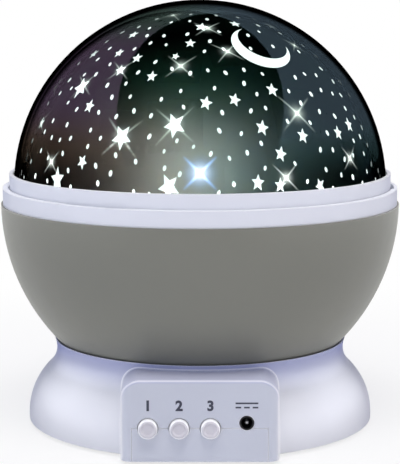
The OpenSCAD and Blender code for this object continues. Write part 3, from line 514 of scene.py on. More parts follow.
def moulded_abs(
    name,
    colour,
    roughness=0.38,
    coat=0.15,
    coat_rough=0.12,
    edge_mm=0.45,
    drift=0.05,
    glow=0.0,
    grazing=1.0,
    rim_y=None,
    of_base=False,
):
    """ABS: an even colour with slow drift, satin gloss, orange peel and softened edges. glow says
    how far edges are painted towards white, a painted highlight. grazing is the share of the gloss
    that is kept where the surface turns away from the eye. rim_y gives a button a painted highlight
    on its rim. of_base adds the painted shade on the neck and the panel's face, and the painted
    highlight lines round the panel."""
    material, tree, out = start_material(name)
    place = (add(tree, "TexCoord"), "Object")
    true_normal = (add(tree, "NewGeometry"), "Normal")

    slow = add(tree, "TexNoise", {"Vector": place, "Scale": per_mm(DRIFT_MM), "Detail": 2.0})
    low = tuple(c * (1 - drift) for c in linear(colour)[:3]) + (1.0,)
    high = tuple(min(1.0, c * (1 + drift)) for c in linear(colour)[:3]) + (1.0,)
    tone = add(tree, "Mix", {"Factor": (slow, "Fac"), 6: low, 7: high}, **COLOURS)

    rub = add(tree, "TexNoise", {"Vector": place, "Scale": per_mm(RUB_MM), "Detail": 4.0})
    gloss = add(
        tree,
        "MapRange",
        {"Value": (rub, "Fac"), "To Min": roughness - 0.04, "To Max": roughness + 0.05},
    )
    peel = add(tree, "TexNoise", {"Vector": place, "Scale": per_mm(PEEL_MM), "Detail": 1.0})
    edge = add(tree, "Bevel", {"Radius": edge_mm * MM}, samples=4)
    bump = add(
        tree,
        "Bump",
        {"Strength": 0.12, "Distance": PEEL_DEPTH_MM * MM, "Height": (peel, "Fac"), "Normal": edge},
    )

    # Painted highlight: where the bevelled shading bends away from the surface, the colour is painted
    # towards white by glow.
    bend = add(tree, "VectorMath", {0: edge, 1: true_normal}, operation="DOT_PRODUCT")
    pale = add(
        tree,
        "MapRange",
        {"Value": (bend, "Value"), "From Min": 0.985, "From Max": 0.80, "To Max": glow},
    )
    # A button's rim gets a painted highlight.
    if rim_y is not None:
        rim = pale_rim(tree, place, true_normal, rim_y)
        pale = add(tree, "Math", {0: pale, 1: rim}, operation="MAXIMUM")
    if of_base:
        distance, in_front = panel_outline(tree, place)
        # Painted highlight lines round the panel.
        lines = outline_lines(tree, distance, in_front)
        pale = add(tree, "Math", {0: pale, 1: lines}, operation="MAXIMUM")
        # Painted shade on the neck and the panel's face.
        tone = base_tone(tree, place, distance, in_front, tone)
    # The painted highlights turn the colour towards white.
    tone = add(tree, "Mix", {"Factor": pale, 6: (tone, 2), 7: linear("#FFFFFF")}, **COLOURS)

    level = 0.5
    if grazing < 1:
        kept = kept_gloss(tree, grazing)
        coat = add(tree, "Math", {0: kept, 1: coat}, operation="MULTIPLY")
        level = add(tree, "Math", {0: kept, 1: level}, operation="MULTIPLY")
    body = add(
        tree,
        "BsdfPrincipled",
        {
            "Base Color": (tone, 2),
            "Roughness": gloss,
            "IOR": PLASTIC_IOR,
            "Specular IOR Level": level,
            "Coat Weight": coat,
            "Coat Roughness": coat_rough,
            "Normal": bump,
        },
    )
    tree.links.new(body.outputs[0], out.inputs["Surface"])
    return material


print("orange peel:", PEEL_MM, "mm across and", PEEL_DEPTH_MM, "mm deep")

# %% [markdown]
# Each plastic is one call. The base and the rings are milky white with a fine satin texture:
# their edges are painted paler as highlights, and their outline keeps its colour where a polished
# white would mirror the room. The bowl is a solid warm grey and almost matt. The buttons are
# polished, and their rims get a painted highlight. Acetal gears look waxy, and black polyamide
# is dull.

# %% Mix the plastics
base_abs = moulded_abs(
    "ABS, lavender white, satin",
    "#DCDDE2",
    roughness=0.5,
    coat=0.9,
    coat_rough=0.42,
    glow=0.9,
    grazing=0.0,
    of_base=True,
)
ring_abs = moulded_abs("ABS, cool white, satin", "#E3E5EB", edge_mm=0.5, glow=0.9, grazing=0.0)
bowl_abs = moulded_abs("ABS, warm grey, satin", "#7A7A6F", roughness=0.42, coat=0.0, drift=0.03)
button_abs = moulded_abs(
    "ABS, white, polished",
    "#D1CED3",
    roughness=0.3,
    edge_mm=0.5,
    glow=0.3,
    rim_y=RIM_START,
)
inner_abs = moulded_abs("ABS, white, matt", "#D6D8E0", roughness=0.6, coat=0.0)
acetal = moulded_abs("acetal, natural", "#E9E6DC", roughness=0.45, coat=0.0, edge_mm=0.15)
black_abs = moulded_abs("polyamide, black", "#17181A", roughness=0.5, coat=0.0, edge_mm=0.2)
print("moulded materials:", len(bpy.data.materials) - 1)

# %% [markdown]
# ## Smoked dome
# The dome is polished smoked acrylic, moulded 1.8 mm thick. Light passes straight through it,
# dimmed and a little greenish, and about a twentieth of the light is mirrored. A full glass
# shader would bend every ray twice for a bend too small to see, so the wall is a mix: a tinted
# see-through part and a sharp gloss. The dome mirrors the softboxes, but the gloss is made weak
# at the foot and at grazing angles, and the colour of what it mirrors is painted by place, from
# violet through brown and green on one side to blue on the other: a painted reflection tint.
# Towards its outline the eye looks through much more acrylic, and the dome goes black.

# %% Tint the smoked acrylic
DOME_TINT = "#CBD3D0"

smoked, tree, out = start_material("acrylic, smoked, polished")
facing = add(tree, "LayerWeight", {"Blend": 0.5})
deep = add(
    tree, "MapRange", {"Value": (facing, "Facing"), "From Min": 0.55, "From Max": 0.8}, **SOFT_STEP
)
smoke = add(tree, "Mix", {"Factor": deep, 6: linear(DOME_TINT), 7: linear("#050606")}, **COLOURS)
tinted = add(tree, "BsdfTransparent", {"Color": (smoke, 2)})
place = add(tree, "SeparateXYZ", {0: (add(tree, "TexCoord"), "Object")})
print("light through both faces of the dome:", round(linear(DOME_TINT)[1] ** 2, 2))


# %% Colour what the dome mirrors
def tint_along(axis, low_mm, high_mm, low_colour, high_colour):
    """A tint that goes from one colour to another along an axis, between two places in mm."""
    way = add(
        tree,
        "MapRange",
        {"Value": (place, axis), "From Min": low_mm * MM, "From Max": high_mm * MM},
        **SOFT_STEP,
    )
    return add(tree, "Mix", {"Factor": way, 6: low_colour, 7: high_colour}, **COLOURS)


# A painted reflection tint: on the left brown at the foot, violet higher and green at the top; on the
# right teal turning blue.
violet = tint_along("Z", 92, 108, linear("#E8C4A4"), linear("#F4CCFA"))
violet = tint_along("Z", 122, 133, (violet, 2), linear("#B8E0CC"))
teal = tint_along("Z", 88, 104, linear("#9CDCDC"), linear("#BCE0F6"))
painted_reflection_tint = tint_along("X", -15, 15, (violet, 2), (teal, 2))
print("nodes of the dome's tints:", len(tree.nodes))

# %% Polish the smoked acrylic
# The gloss by the place's height, weak at the foot, and by the angle, weak near the outline.
DOME_GLOSS = 0.056 / GLOSS_BOOST
OUTLINE_GLOSS = 0.0005
FOOT_LOW, FOOT_HIGH = 83, 100

rim = add(
    tree,
    "MapRange",
    {
        "Value": (facing, "Facing"),
        "From Min": 0.74,
        "From Max": 0.83,
        "To Min": DOME_GLOSS,
        "To Max": OUTLINE_GLOSS,
    },
    **SOFT_STEP,
)
foot = add(
    tree,
    "MapRange",
    {"Value": (place, "Z"), "From Min": FOOT_LOW * MM, "From Max": FOOT_HIGH * MM, "To Min": 0.06},
    **SOFT_STEP,
)
rim = add(tree, "Math", {0: rim, 1: foot}, operation="MULTIPLY")
gloss = add(tree, "BsdfGlossy", {"Color": (painted_reflection_tint, 2), "Roughness": 0.015})
back = (add(tree, "NewGeometry"), "Backfacing")
outside = add(tree, "Math", {0: 1.0, 1: back}, operation="SUBTRACT")
front = add(tree, "Math", {0: rim, 1: outside}, operation="MULTIPLY")
wall = add(tree, "MixShader", {0: front, 1: tinted, 2: gloss})
tree.links.new(wall.outputs[0], out.inputs["Surface"])
print("the dome mirrors", round(100 * DOME_GLOSS * GLOSS_BOOST, 1), "% of a softbox's white")

# %% [markdown]
# ## Printed film
# Under the dome lies a film that is printed dark, and the ink scatters what passes through it:
# the lamp inside shows as a soft glow round the place where it stands, and fades to black. That
# is rough glass. The sheet's inner face is left clear, because a ray needs to be scattered only
# once, and its back, seen from within the dome, is plain dark ink.

# %% Tint the printed film
# Half the width over which the tint changes sideways, and the heights between which it turns
# green and then fades towards the top, in millimetres.
TINT_SIDE = 32
GREEN_LOW, GREEN_HIGH, GREEN_TOP = 96, 118, 132

film_ink, tree, out = start_material("polyester film, dark print")
place = (add(tree, "TexCoord"), "Object")
cloud = add(tree, "TexNoise", {"Vector": place, "Scale": per_mm(60), "Detail": 1.0})
xyz = add(tree, "SeparateXYZ", {0: place})
across = add(
    tree, "MapRange", {"Value": (xyz, "X"), "From Min": -TINT_SIDE * MM, "From Max": TINT_SIDE * MM}
)
side = add(tree, "Math", {0: (cloud, "Fac"), 1: 0.5, 2: 0.0}, operation="MULTIPLY_ADD")
side = add(tree, "Math", {0: across, 1: 0.75, 2: side}, operation="MULTIPLY_ADD")
tint = add(tree, "Mix", {"Factor": side, 6: linear("#C4A8B6"), 7: linear("#98B2AA")}, **COLOURS)
higher = add(
    tree,
    "MapRange",
    {"Value": (xyz, "Z"), "From Min": GREEN_LOW * MM, "From Max": GREEN_HIGH * MM},
    **SOFT_STEP,
)
top = add(
    tree, "MapRange", {"Value": (xyz, "Z"), "From Min": GREEN_HIGH * MM, "From Max": GREEN_TOP * MM}
)
green = add(tree, "Mix", {"Factor": top, 6: linear("#599584"), 7: linear("#4A6A60")}, **COLOURS)
tint = add(tree, "Mix", {"Factor": higher, 6: (tint, 2), 7: (green, 2)}, **COLOURS)
print("nodes of the film's tint:", len(tree.nodes))

# %% Scatter the light in the film
film_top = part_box("star_film")[1]
FILM_RADIUS = float(film_top[0])
DOME_MIDDLE = np.array([0.0, 0.0, float(film_top[2]) - FILM_RADIUS])

ink = add(
    tree,
    "BsdfRefraction",
    {"Color": (tint, 2), "Roughness": 0.62, "IOR": 2.0},
    distribution="BECKMANN",
)
clear = add(tree, "BsdfTransparent", {"Color": (1, 1, 1, 1)})
behind = add(tree, "BsdfDiffuse", {"Color": linear("#0C0D0C")})
hit = add(tree, "NewGeometry")
from_middle = add(tree, "VectorMath", {0: place, 1: tuple(DOME_MIDDLE)}, operation="SUBTRACT")
outward = add(tree, "VectorMath", {0: from_middle, 1: (hit, "Normal")}, operation="DOT_PRODUCT")
near_half = add(tree, "Math", {0: (outward, "Value"), 1: 0.0}, operation="GREATER_THAN")
sheet = add(tree, "MixShader", {0: (hit, "Backfacing"), 1: ink, 2: clear})
sheet = add(tree, "MixShader", {0: near_half, 1: behind, 2: sheet})
tree.links.new(sheet.outputs[0], out.inputs["Surface"])
print("film radius in millimetres:", round(FILM_RADIUS / MM, 2))

# %% [markdown]
# ## Metals, rubber and small parts
# Screws, springs, shafts and the motor's can are zinc-plated steel with a fine brushed grain, the
# motor's pinion is turned brass, and the battery contacts are nickel-plated brass. They mostly
# hide inside, but a lamp with its dome lifted or its door open shows them. An anisotropic shader
# could draw the brushing as lines; on parts this small a rough grain gives the same look.


# %% Define the plated metals
def plated_metal(name, colour, roughness, grain_mm=0.4):
    """Plated metal: a coloured mirror whose roughness changes with a fine grain."""
    material, tree, out = start_material(name)
    place = (add(tree, "TexCoord"), "Object")
    grain = add(tree, "TexNoise", {"Vector": place, "Scale": per_mm(grain_mm), "Detail": 3.0})
    rough = add(
        tree,
        "MapRange",
        {"Value": (grain, "Fac"), "To Min": roughness - 0.08, "To Max": roughness + 0.08},
    )
    body = add(
        tree, "BsdfPrincipled", {"Base Color": linear(colour), "Metallic": 1.0, "Roughness": rough}
    )
    tree.links.new(body.outputs[0], out.inputs["Surface"])
    return material


steel = plated_metal("steel, zinc plated", "#B9BBBD", 0.32)
can = plated_metal("steel can, zinc plated", "#A9ABAE", 0.38, grain_mm=1.0)
brass = plated_metal("brass, turned", "#D2B062", 0.28)
nickel = plated_metal("brass, nickel plated", "#D8DADE", 0.22)
print("metals:", [m.name for m in (steel, can, brass, nickel)])

# %% [markdown]
# The rest is moulded or coated plastic too, so the same function serves again. Rubber is dull
# and nearly black. The lacquer on a circuit board and the shrunk jacket of a battery cell give a
# wet gloss over an even colour. PVC cable is soft and dull, with hardly an edge.

# %% Mix the rubber, the boards, the cells and the cables
LACQUER = {"roughness": 0.35, "coat": 0.3, "edge_mm": 0.1}
PVC = {"roughness": 0.5, "coat": 0.0, "edge_mm": 0.1}

rubber = moulded_abs("rubber, black", "#2A2A2C", roughness=0.8, coat=0.0, edge_mm=0.3)
board = moulded_abs("circuit board, green lacquer", "#1F5F3A", **LACQUER)
lamp_board = moulded_abs("circuit board, white lacquer", "#E4E6EA", **LACQUER)
jacket = moulded_abs("battery jacket, plain", "#8E9298", roughness=0.3, coat=0.3, edge_mm=0.3)
cable_white = moulded_abs("PVC cable, white", "#E4E4E4", **PVC)
cable_red = moulded_abs("PVC cable, red", "#A83030", **PVC)
print("materials so far:", len(bpy.data.materials))

# %% [markdown]
# Each LED is a drop of clear epoxy over its chip. Real glass with a light inside would need many
# samples, so a lens is a mix: a third of it is a glossy body that glows in the lens's colour, and
# the rest lets the eye through.


# %% Cast the LED lenses
def lamp_lens(name, colour, glow):
    """A clear epoxy lens that gives light: mostly see-through, with a gloss and a glow."""
    material, tree, out = start_material(name)
    place = (add(tree, "TexCoord"), "Object")
    speck = add(tree, "TexNoise", {"Vector": place, "Scale": per_mm(2.0)})
    tone = add(
        tree,
        "Mix",
        {"Factor": (speck, "Fac"), 6: linear(colour, 0.9), 7: linear(colour)},
        **COLOURS,
    )
    body = add(
        tree,
        "BsdfPrincipled",
        {
            "Base Color": (tone, 2),
            "Roughness": 0.15,
            "Emission Color": (tone, 2),
            "Emission Strength": glow,
        },
    )
    clear = add(tree, "BsdfTransparent", {"Color": (tone, 2)})
    mixed = add(tree, "MixShader", {0: 0.35, 1: clear, 2: body})
    tree.links.new(mixed.outputs[0], out.inputs["Surface"])
    return material


lens = {
    "lens_warm": lamp_lens("epoxy lens, warm white", "#FFF0D0", 1.5),
    "lens_blue": lamp_lens("epoxy lens, blue, lit", "#BFD4FF", 6.0),
    "lens_green": lamp_lens("epoxy lens, green", "#C2F2CC", 0.6),
    "lens_red": lamp_lens("epoxy lens, red", "#F6C0BC", 0.6),
}
print("lenses:", len(lens))

# %% [markdown]
# ## Dressing the engineering pieces
# Every solid names a finish slot in the engineering record. One table turns a slot into a
# material, so screws, gears and feet need no line of their own. Each piece could also be dressed
# by its own name, but a list of names goes wrong as soon as a piece is added.

# %% Dress the engineering pieces
finish_of_slot = {
    "base_plastic": base_abs,
    "ring_plastic": ring_abs,
    "bowl_plastic": bowl_abs,
    "smoked_plastic": smoked,
    "printed_film": film_ink,
    "button_plastic": button_abs,
    "white_plastic": inner_abs,
    "gear_plastic": acetal,
    "foot_rubber": rubber,
    "steel": steel,
    "motor_can": can,
    "brass": brass,
    "contact_metal": nickel,
    "cell_jacket": jacket,
    "circuit_board": board,
    "lamp_board": lamp_board,
    "black_plastic": black_abs,
    "cable_white": cable_white,
    "cable_red": cable_red,
    **lens,
}
slot_of_node = {s["node"]: s["material_slot"] for s in frame["record"]["subparts"]}
for name, piece in frame["nodes"].items():
    finish = finish_of_slot[slot_of_node[name]]
    piece.data.materials.clear()
    piece.data.materials.append(finish)
print("dressed pieces:", len(frame["nodes"]))

# %% [markdown]
# ## The print on the film
# Stars, dots and a crescent moon are clear windows in the dark print, lit by the lamp behind,
# and small sparkles over them are painted glints. They could be drawn by a shader, but outlines
# stay sharp at any distance when each window is a thin patch of its own. A patch is drawn flat,
# in millimetres across and up, then laid on the film: its middle has a direction on the dome, its
# points move sideways in that place, and each point is pulled back to the film's radius.

# %% Lay flat outlines on the film
PRINT_LIFT = 0.03 * MM


def on_film(turn, rise, across, up, lift=PRINT_LIFT):
    """Points on the film. turn and rise are a patch's direction in degrees, from the front to the
    right and from level to the top; across and up are metres from its middle. The point in the
    tangent plane is scaled back to the film's radius plus a small lift."""
    turn, rise = np.radians(turn), np.radians(rise)
    out = np.stack([np.sin(turn) * np.cos(rise), -np.cos(turn) * np.cos(rise), np.sin(rise)], -1)
    right = np.stack([np.cos(turn), np.sin(turn), 0 * turn], -1)
    top = np.stack([-np.sin(turn) * np.sin(rise), np.cos(turn) * np.sin(rise), np.cos(rise)], -1)
    point = out * FILM_RADIUS + right * across[..., None] + top * up[..., None]
    point *= (FILM_RADIUS + lift) / np.linalg.norm(point, axis=-1, keepdims=True)
    return DOME_MIDDLE + point


def patches(rows, across, up, lift=PRINT_LIFT):
    """The points of many patches in one list. The first columns of rows are turn and rise."""
    turn = rows[:, :1] + 0 * across
    rise = rows[:, 1:2] + 0 * across
    return on_film(turn, rise, across, up, lift).reshape(-1, 3)


def tilted(angle, x, y):
    """Flat points turned by an angle: (x cos - y sin, x sin + y cos)."""
    return np.cos(angle) * x - np.sin(angle) * y, np.sin(angle) * x + np.cos(angle) * y


def fans(count, sides):
    """Triangles of many fans: each has a middle point followed by its outline points."""
    start = np.arange(count)[:, None] * (sides + 1)
    k = np.arange(sides)[None, :]
    faces = np.stack([start + 0 * k, start + 1 + k, start + 1 + (k + 1) % sides], -1)
    return faces.reshape(-1, 3).tolist()


def with_middle(outline):
    """Puts a zero in front of each outline, for the middle of its fan."""
    return np.concatenate([np.zeros(outline.shape[:-1] + (1,)), outline], -1)


print("patches lie on a radius of", round((FILM_RADIUS + PRINT_LIFT) / MM, 2), "mm")

# %% [markdown]
# The windows' finish: light from behind, so it is plain emission, with a faint mottling where
# the print lets a little less through.

# %% Make the window finish
WINDOW_GLOW = 3.2

window, tree, out = start_material("film window, lit")
place = (add(tree, "TexCoord"), "Object")
mottle = add(tree, "TexNoise", {"Vector": place, "Scale": per_mm(2.5), "Detail": 1.0})
glow = add(
    tree,
    "MapRange",
    {"Value": (mottle, "Fac"), "To Min": WINDOW_GLOW * 0.9, "To Max": WINDOW_GLOW * 1.1},
)
lit = add(tree, "Emission", {"Color": linear("#FBFDFF"), "Strength": glow})
tree.links.new(lit.outputs[0], out.inputs["Surface"])
print("windows glow", WINDOW_GLOW, "times as bright as white")

# %% [markdown]
# The stars are common five-pointed ones, a little taller than wide. Those in front have a row
# each. The back is filled by drawing directions at random and keeping those that lie far enough
# from the rest; a regular grid would look like a net curtain, and free chance makes clumps. The
# generator has a fixed seed, so the pattern is the same on each run.


# %% Scatter directions over the dome
def scatter(count, apart, taken, low, high, zone):
    """Directions in degrees, drawn one after another and kept if they lie more than apart from
    all taken and kept ones. zone holds the turns, low and high the rises. The pattern is even
    over the sphere, because the sine of the rise is drawn evenly."""
    kept = np.array(taken, float).reshape(-1, 2)
    turns = rng.uniform(*zone, TRIES * count)
    sines = rng.uniform(np.sin(np.radians(low)), np.sin(np.radians(high)), TRIES * count)
    fresh = []
    for turn, rise in zip(turns, np.degrees(np.arcsin(sines))):
        a = np.radians(kept)
        t, r = np.radians(turn), np.radians(rise)
        near = np.sin(a[:, 1]) * np.sin(r) + np.cos(a[:, 1]) * np.cos(r) * np.cos(a[:, 0] - t)
        if len(kept) == 0 or np.degrees(np.arccos(np.clip(near, -1, 1))).min() > apart:
            kept = np.vstack([kept, [turn, rise]])
            fresh.append([turn, rise])
        if len(fresh) == count:
            break
    return np.array(fresh)


TRIES = 40
rng = np.random.default_rng(7)
print("tries for each direction wanted:", TRIES)

# %% Cut the stars
# Each row is one star near the front: turn and rise in degrees, radius in millimetres, tilt.
FRONT_STARS = np.array([
    [-8, 25, 3.5, 27], [-25, 21, 3.5, 36], [-50, 36, 3.3, 24], [-9, 7, 3.5, 28], [1, 64, 2.3, -12],
    [-48, 7, 3.4, 6], [-34, 43, 1.9, 18], [-5, 55, 1.8, 0], [-19, 41, 1.8, 2], [-29, 48, 1.8, 12],
    [-41, 50, 1.7, 16], [-59, 49, 1.7, 30], [-43, 59, 1.7, 20], [2, 32, 2.1, -14], [12, 33, 2.0, -20],
    [27, 36, 2.1, -14], [20, 24, 2.2, -16], [25, 16, 2.1, -18], [34, 21, 2.1, -14], [50, 21, 2.0, -12],
    [58, 23, 2.1, -8], [17, 8, 2.2, -6], [24, 7, 2.0, -4], [38, 6, 2.0, 22], [-41, 30, 2.0, -6],
    [-38, 13, 2.0, -26], [60, 64, 2.0, -30], [27, 66, 1.8, -20], [0, 80, 1.8, 0], [-66, 23, 1.8, 10],
    [-11, 49, 1.3, -20], [-72, 12, 1.9, 0], [77, 76, 1.6, 0],
])
STAR_CORNERS = 10
STAR_STRETCH = 1.25
STAR_OUTER, STAR_INNER = 0.96, 0.44

back_stars = scatter(34, 13, FRONT_STARS[:, :2], low=6, high=80, zone=(75, 285))
back_sizes = rng.uniform(1.7, 2.8, len(back_stars))
back_tilts = rng.uniform(-30, 30, len(back_stars))
stars = np.vstack([FRONT_STARS, np.column_stack([back_stars, back_sizes, back_tilts])])

corner = np.arange(STAR_CORNERS)
spoke = np.where(corner % 2 == 0, STAR_OUTER, STAR_INNER)
angle = np.pi / 2 + corner * np.pi / 5 + np.radians(stars[:, 3:4])
across = with_middle(stars[:, 2:3] * MM * spoke * np.cos(angle))
up = with_middle(STAR_STRETCH * stars[:, 2:3] * MM * spoke * np.sin(angle))
star_points = patches(stars, across, up)
star_print = make_piece("star_print", star_points, fans(len(stars), STAR_CORNERS))
print("stars:", len(stars))

# %% [markdown]
# The moon is a round disc with a smaller disc taken out of it, shifted towards its upper right.
# A boolean could cut it, but its two arcs run from one crossing of the circles to the other, and
# both ends of each arc follow from the two radii and the shift.

# %% Cut the crescent moon
# The moon's direction in degrees, then both radii and the shift in mm, and the shift's direction.
MOON_TURN, MOON_RISE = 32.5, 53.4
MOON_DISC, MOON_HOLLOW, HOLLOW_SHIFT, HOLLOW_WAY = 9.75, 8.2, 2.9, 52.0
ARC_POINTS = 49

both = MOON_DISC**2 - MOON_HOLLOW**2
tip = np.arccos((both + HOLLOW_SHIFT**2) / (2 * MOON_DISC * HOLLOW_SHIFT))
hollow_tip = np.arccos((both - HOLLOW_SHIFT**2) / (2 * MOON_HOLLOW * HOLLOW_SHIFT))
t = np.linspace(tip, 2 * np.pi - tip, ARC_POINTS)
h = np.linspace(hollow_tip, 2 * np.pi - hollow_tip, ARC_POINTS)
outer = MOON_DISC * np.stack([np.cos(t), np.sin(t)])
inner = MOON_HOLLOW * np.stack([np.cos(h), np.sin(h)]) + [[HOLLOW_SHIFT], [0]]
flat = np.concatenate([outer, inner[:, ::-1]], axis=1) * MM
across, up = tilted(np.radians(HOLLOW_WAY), flat[0], flat[1])
moon_points = on_film(MOON_TURN + 0 * across, MOON_RISE + 0 * across, across, up)
last = 2 * ARC_POINTS - 1
moon_faces = [[i, i + 1, last - i - 1, last - i] for i in range(ARC_POINTS - 1)]
moon_print = make_piece("moon_print", moon_points, moon_faces)
print("moon width in millimetres:", round(float(np.ptp(moon_points[:, 0])) / MM, 1))

# %% [markdown]
# The dots fill what the stars and the moon leave free. Each is a small ellipse of eight corners,
# which is round enough for a point of light, with its own size and lean.

# %% Cut the dots
# Places kept free round the moon's middle, in degrees of turn and rise.
MOON_ROOM = np.array([[-16, 3], [-10, -6], [0, -9], [10, -6], [16, 3]])
DOT_CORNERS = 8
DOT_WIDTH = 0.6

taken = np.vstack([stars[:, :2], np.array([MOON_TURN, MOON_RISE]) + MOON_ROOM])
dots = scatter(420, 4.7, taken, low=4, high=86, zone=(-180, 180))
tall = rng.uniform(0.72, 1.0, (len(dots), 1)) * MM
lean = np.radians(rng.uniform(-25, 25, (len(dots), 1)))
turned = np.arange(DOT_CORNERS) * 2 * np.pi / DOT_CORNERS
across, up = tilted(lean, tall * DOT_WIDTH * np.cos(turned), tall * np.sin(turned))
dot_points = patches(dots, with_middle(across), with_middle(up))
dot_print = make_piece("dot_print", dot_points, fans(len(dots), DOT_CORNERS))
print("dots:", len(dots))

# %% [markdown]
# Sparkles are painted glints laid on the film: four thin rays on the diagonals and a small hazy
# core. Their falloff is drawn in the patch's own UV map, from -1 to 1 across the patch: a ray is
# bright close to a diagonal and fades with the distance from the middle, the core is a round haze.
# Light is added to what lies behind, so a sparkle never darkens the film.


# %% Define the finish of the painted glints
def sparkle_finish(name, core_colour, ray_colour, core_size, fall, strength, narrow=9.0):
    """A painted glint: see-through plus emission times haze + rays. With r the distance from the
    middle, haze = (1 - r / core)^fall inside the core, and a ray = (1 - r)^0.9 * (1 - narrow |t|)^2,
    where t is u + v for one diagonal and u - v for the other."""
    material, tree, out = start_material(name)
    uv = add(tree, "UVMap", uv_map="patch")
    xyz = add(tree, "SeparateXYZ", {0: uv})
    r = (add(tree, "VectorMath", {0: uv}, operation="LENGTH"), "Value")
    rays = []
    for side in ("ADD", "SUBTRACT"):
        t = add(tree, "Math", {0: (xyz, "X"), 1: (xyz, "Y")}, operation=side)
        t = add(tree, "Math", {0: t}, operation="ABSOLUTE")
        t = add(tree, "Math", {0: t, 1: narrow}, operation="MULTIPLY")
        ray = add(tree, "Math", {0: 1.0, 1: t}, operation="SUBTRACT", use_clamp=True)
        rays.append(add(tree, "Math", {0: ray, 1: 2.0}, operation="POWER"))
    both = add(tree, "Math", {0: rays[0], 1: rays[1]}, operation="ADD")
    fade = add(tree, "Math", {0: 1.0, 1: r}, operation="SUBTRACT", use_clamp=True)
    fade = add(tree, "Math", {0: fade, 1: 0.9}, operation="POWER")
    both = add(tree, "Math", {0: both, 1: fade}, operation="MULTIPLY")
    haze = add(tree, "Math", {0: r, 1: core_size}, operation="DIVIDE")
    haze = add(tree, "Math", {0: 1.0, 1: haze}, operation="SUBTRACT", use_clamp=True)
    haze = add(tree, "Math", {0: haze, 1: fall}, operation="POWER")
    glow = add(tree, "Math", {0: both, 1: haze}, operation="ADD")
    glow = add(tree, "Math", {0: glow, 1: strength}, operation="MULTIPLY")
    colour = add(
        tree, "Mix", {"Factor": haze, 6: linear(ray_colour), 7: linear(core_colour)}, **COLOURS
    )
    lit = add(tree, "Emission", {"Color": (colour, 2), "Strength": glow})
    clear = add(tree, "BsdfTransparent", {"Color": (1, 1, 1, 1)})
    added = add(tree, "AddShader", {0: clear, 1: lit})
    tree.links.new(added.outputs[0], out.inputs["Surface"])
    return material


print("a ray at half its length has", round(0.5**0.9, 2), "of its light")

# %% Lay the painted glints on the film
SPARKLE_CELLS = 6


def sparkles(name, rows, finish, lift):
    """Painted glints as square patches on the film, one for each row of turn, rise, radius, tilt.
    Each patch has 6 by 6 cells, so that it follows the dome, and its own UV map from -1 to 1."""
    side = SPARKLE_CELLS + 1
    steps = np.linspace(-1, 1, side)
    gu, gv = (g.ravel() for g in np.meshgrid(steps, steps, indexing="ij"))
    across, up = tilted(np.radians(rows[:, 3:4]), gu, gv)
    size = rows[:, 2:3] * MM
    points = patches(rows, size * across, size * up, lift)
    cells = np.arange(SPARKLE_CELLS)
    i, j = (g.ravel() for g in np.meshgrid(cells, cells, indexing="ij"))
    first = i * side + j
    quad = np.stack([first, first + side, first + side + 1, first + 1], -1)
    faces = (quad[None] + side**2 * np.arange(len(rows))[:, None, None]).reshape(-1, 4)
    piece = make_piece(name, points, faces.tolist())
    layer = piece.data.uv_layers.new(name="patch")
    uv = np.stack([gu, gv], -1)[faces.ravel() % side**2]
    layer.data.foreach_set("uv", uv.astype(np.float32).ravel())
    piece.data.materials.append(finish)
    return piece


print("faces of one sparkle:", SPARKLE_CELLS**2)

# %% [markdown]
# The painted glints in front have a row each, as the stars do, and the back is filled at random.
# The burst is a painted lens flare: one large blue sparkle over the lit lens. It could be a flare
# that is added after the picture is made, but painted on the film it turns with it.

# %% Paint the glints and the lamp's flare on the film
# Each row is one painted glint near the front: turn and rise in degrees, radius in millimetres, tilt.
FRONT_SPARKLES = np.array([
    [-29, 73, 7.0, 0], [-8, 45, 6.4, 0], [34, 28, 8.4, -6], [26, 9, 6.2, 0], [56, 53, 4.6, -10],
    [-71, 35, 5.5, 10], [78, 32, 9.0, -8], [74, 38, 5.0, 0], [-52, 12, 5.2, 4], [53, 13, 5.2, -4],
    [-66, 23, 5.0, 8], [-8, 25, 8.4, 4], [-25, 21, 8.6, -2], [5, 63, 6.0, 0], [13, 51, 6.2, 6],
    [-49, 37, 6.4, 12], [-34, 43, 5.6, 6], [-75, 68, 4.5, 0],
])
BURST = np.array([[0.0, 11.0, 7.2, 0.0]])
SPARKLE_LIFT, BURST_LIFT = 0.12 * MM, 0.2 * MM

back_places = scatter(16, 22, FRONT_SPARKLES[:, :2], low=8, high=70, zone=(95, 265))
back_sizes = rng.uniform(4, 7, len(back_places))
back_rows = np.column_stack([back_places, back_sizes, 0 * back_sizes])
all_sparkles = np.vstack([FRONT_SPARKLES, back_rows])
painted_glint_white = sparkle_finish("painted glint, soft", "#FFFDF6", "#BCBEBC", 0.74, 4.0, 3.6)
painted_glints = sparkles("painted_glints", all_sparkles, painted_glint_white, SPARKLE_LIFT)
painted_flare_blue = sparkle_finish(
    "painted lens flare, blue",
    "#FFFFFF",
    "#78A6FF",
    core_size=0.95,
    fall=3.0,
    strength=3.0,
    narrow=5.5,
)
painted_flare = sparkles("painted_flare", BURST, painted_flare_blue, BURST_LIFT)
print("sparkles:", len(all_sparkles))

# %% [markdown]
# The stars, the moon and the dots get the thickness of ink from a Solidify modifier, which keeps
# their outlines as drawn. All of the print and the painted glints ride with the dome, because the
# film does.

# %% Thicken the print and let it and the painted glints ride with the dome
FILM_INK = 0.03 * MM

sharp_print = (star_print, moon_print, dot_print)
print_and_painted_glints = (*sharp_print, painted_glints, painted_flare)
for piece in sharp_print:
    piece.data.materials.append(window)
    ink_layer = piece.modifiers.new("ink", "SOLIDIFY")
    ink_layer.thickness = FILM_INK
    ink_layer.offset = -1
for piece in print_and_painted_glints:
    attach(piece, "dome")
print("print faces:", sum(len(p.data.polygons) for p in print_and_painted_glints))

# %% [markdown]
# ## Marks on the panel
# The three buttons are numbered, and the power socket has the common sign for direct current, a
# bar over three dashes. They are pad-printed in dark grey ink, a few hundredths of a millimetre
# thick. The numbers come from Blender's built-in font, turned into a mesh; the sign is four
# small bars.

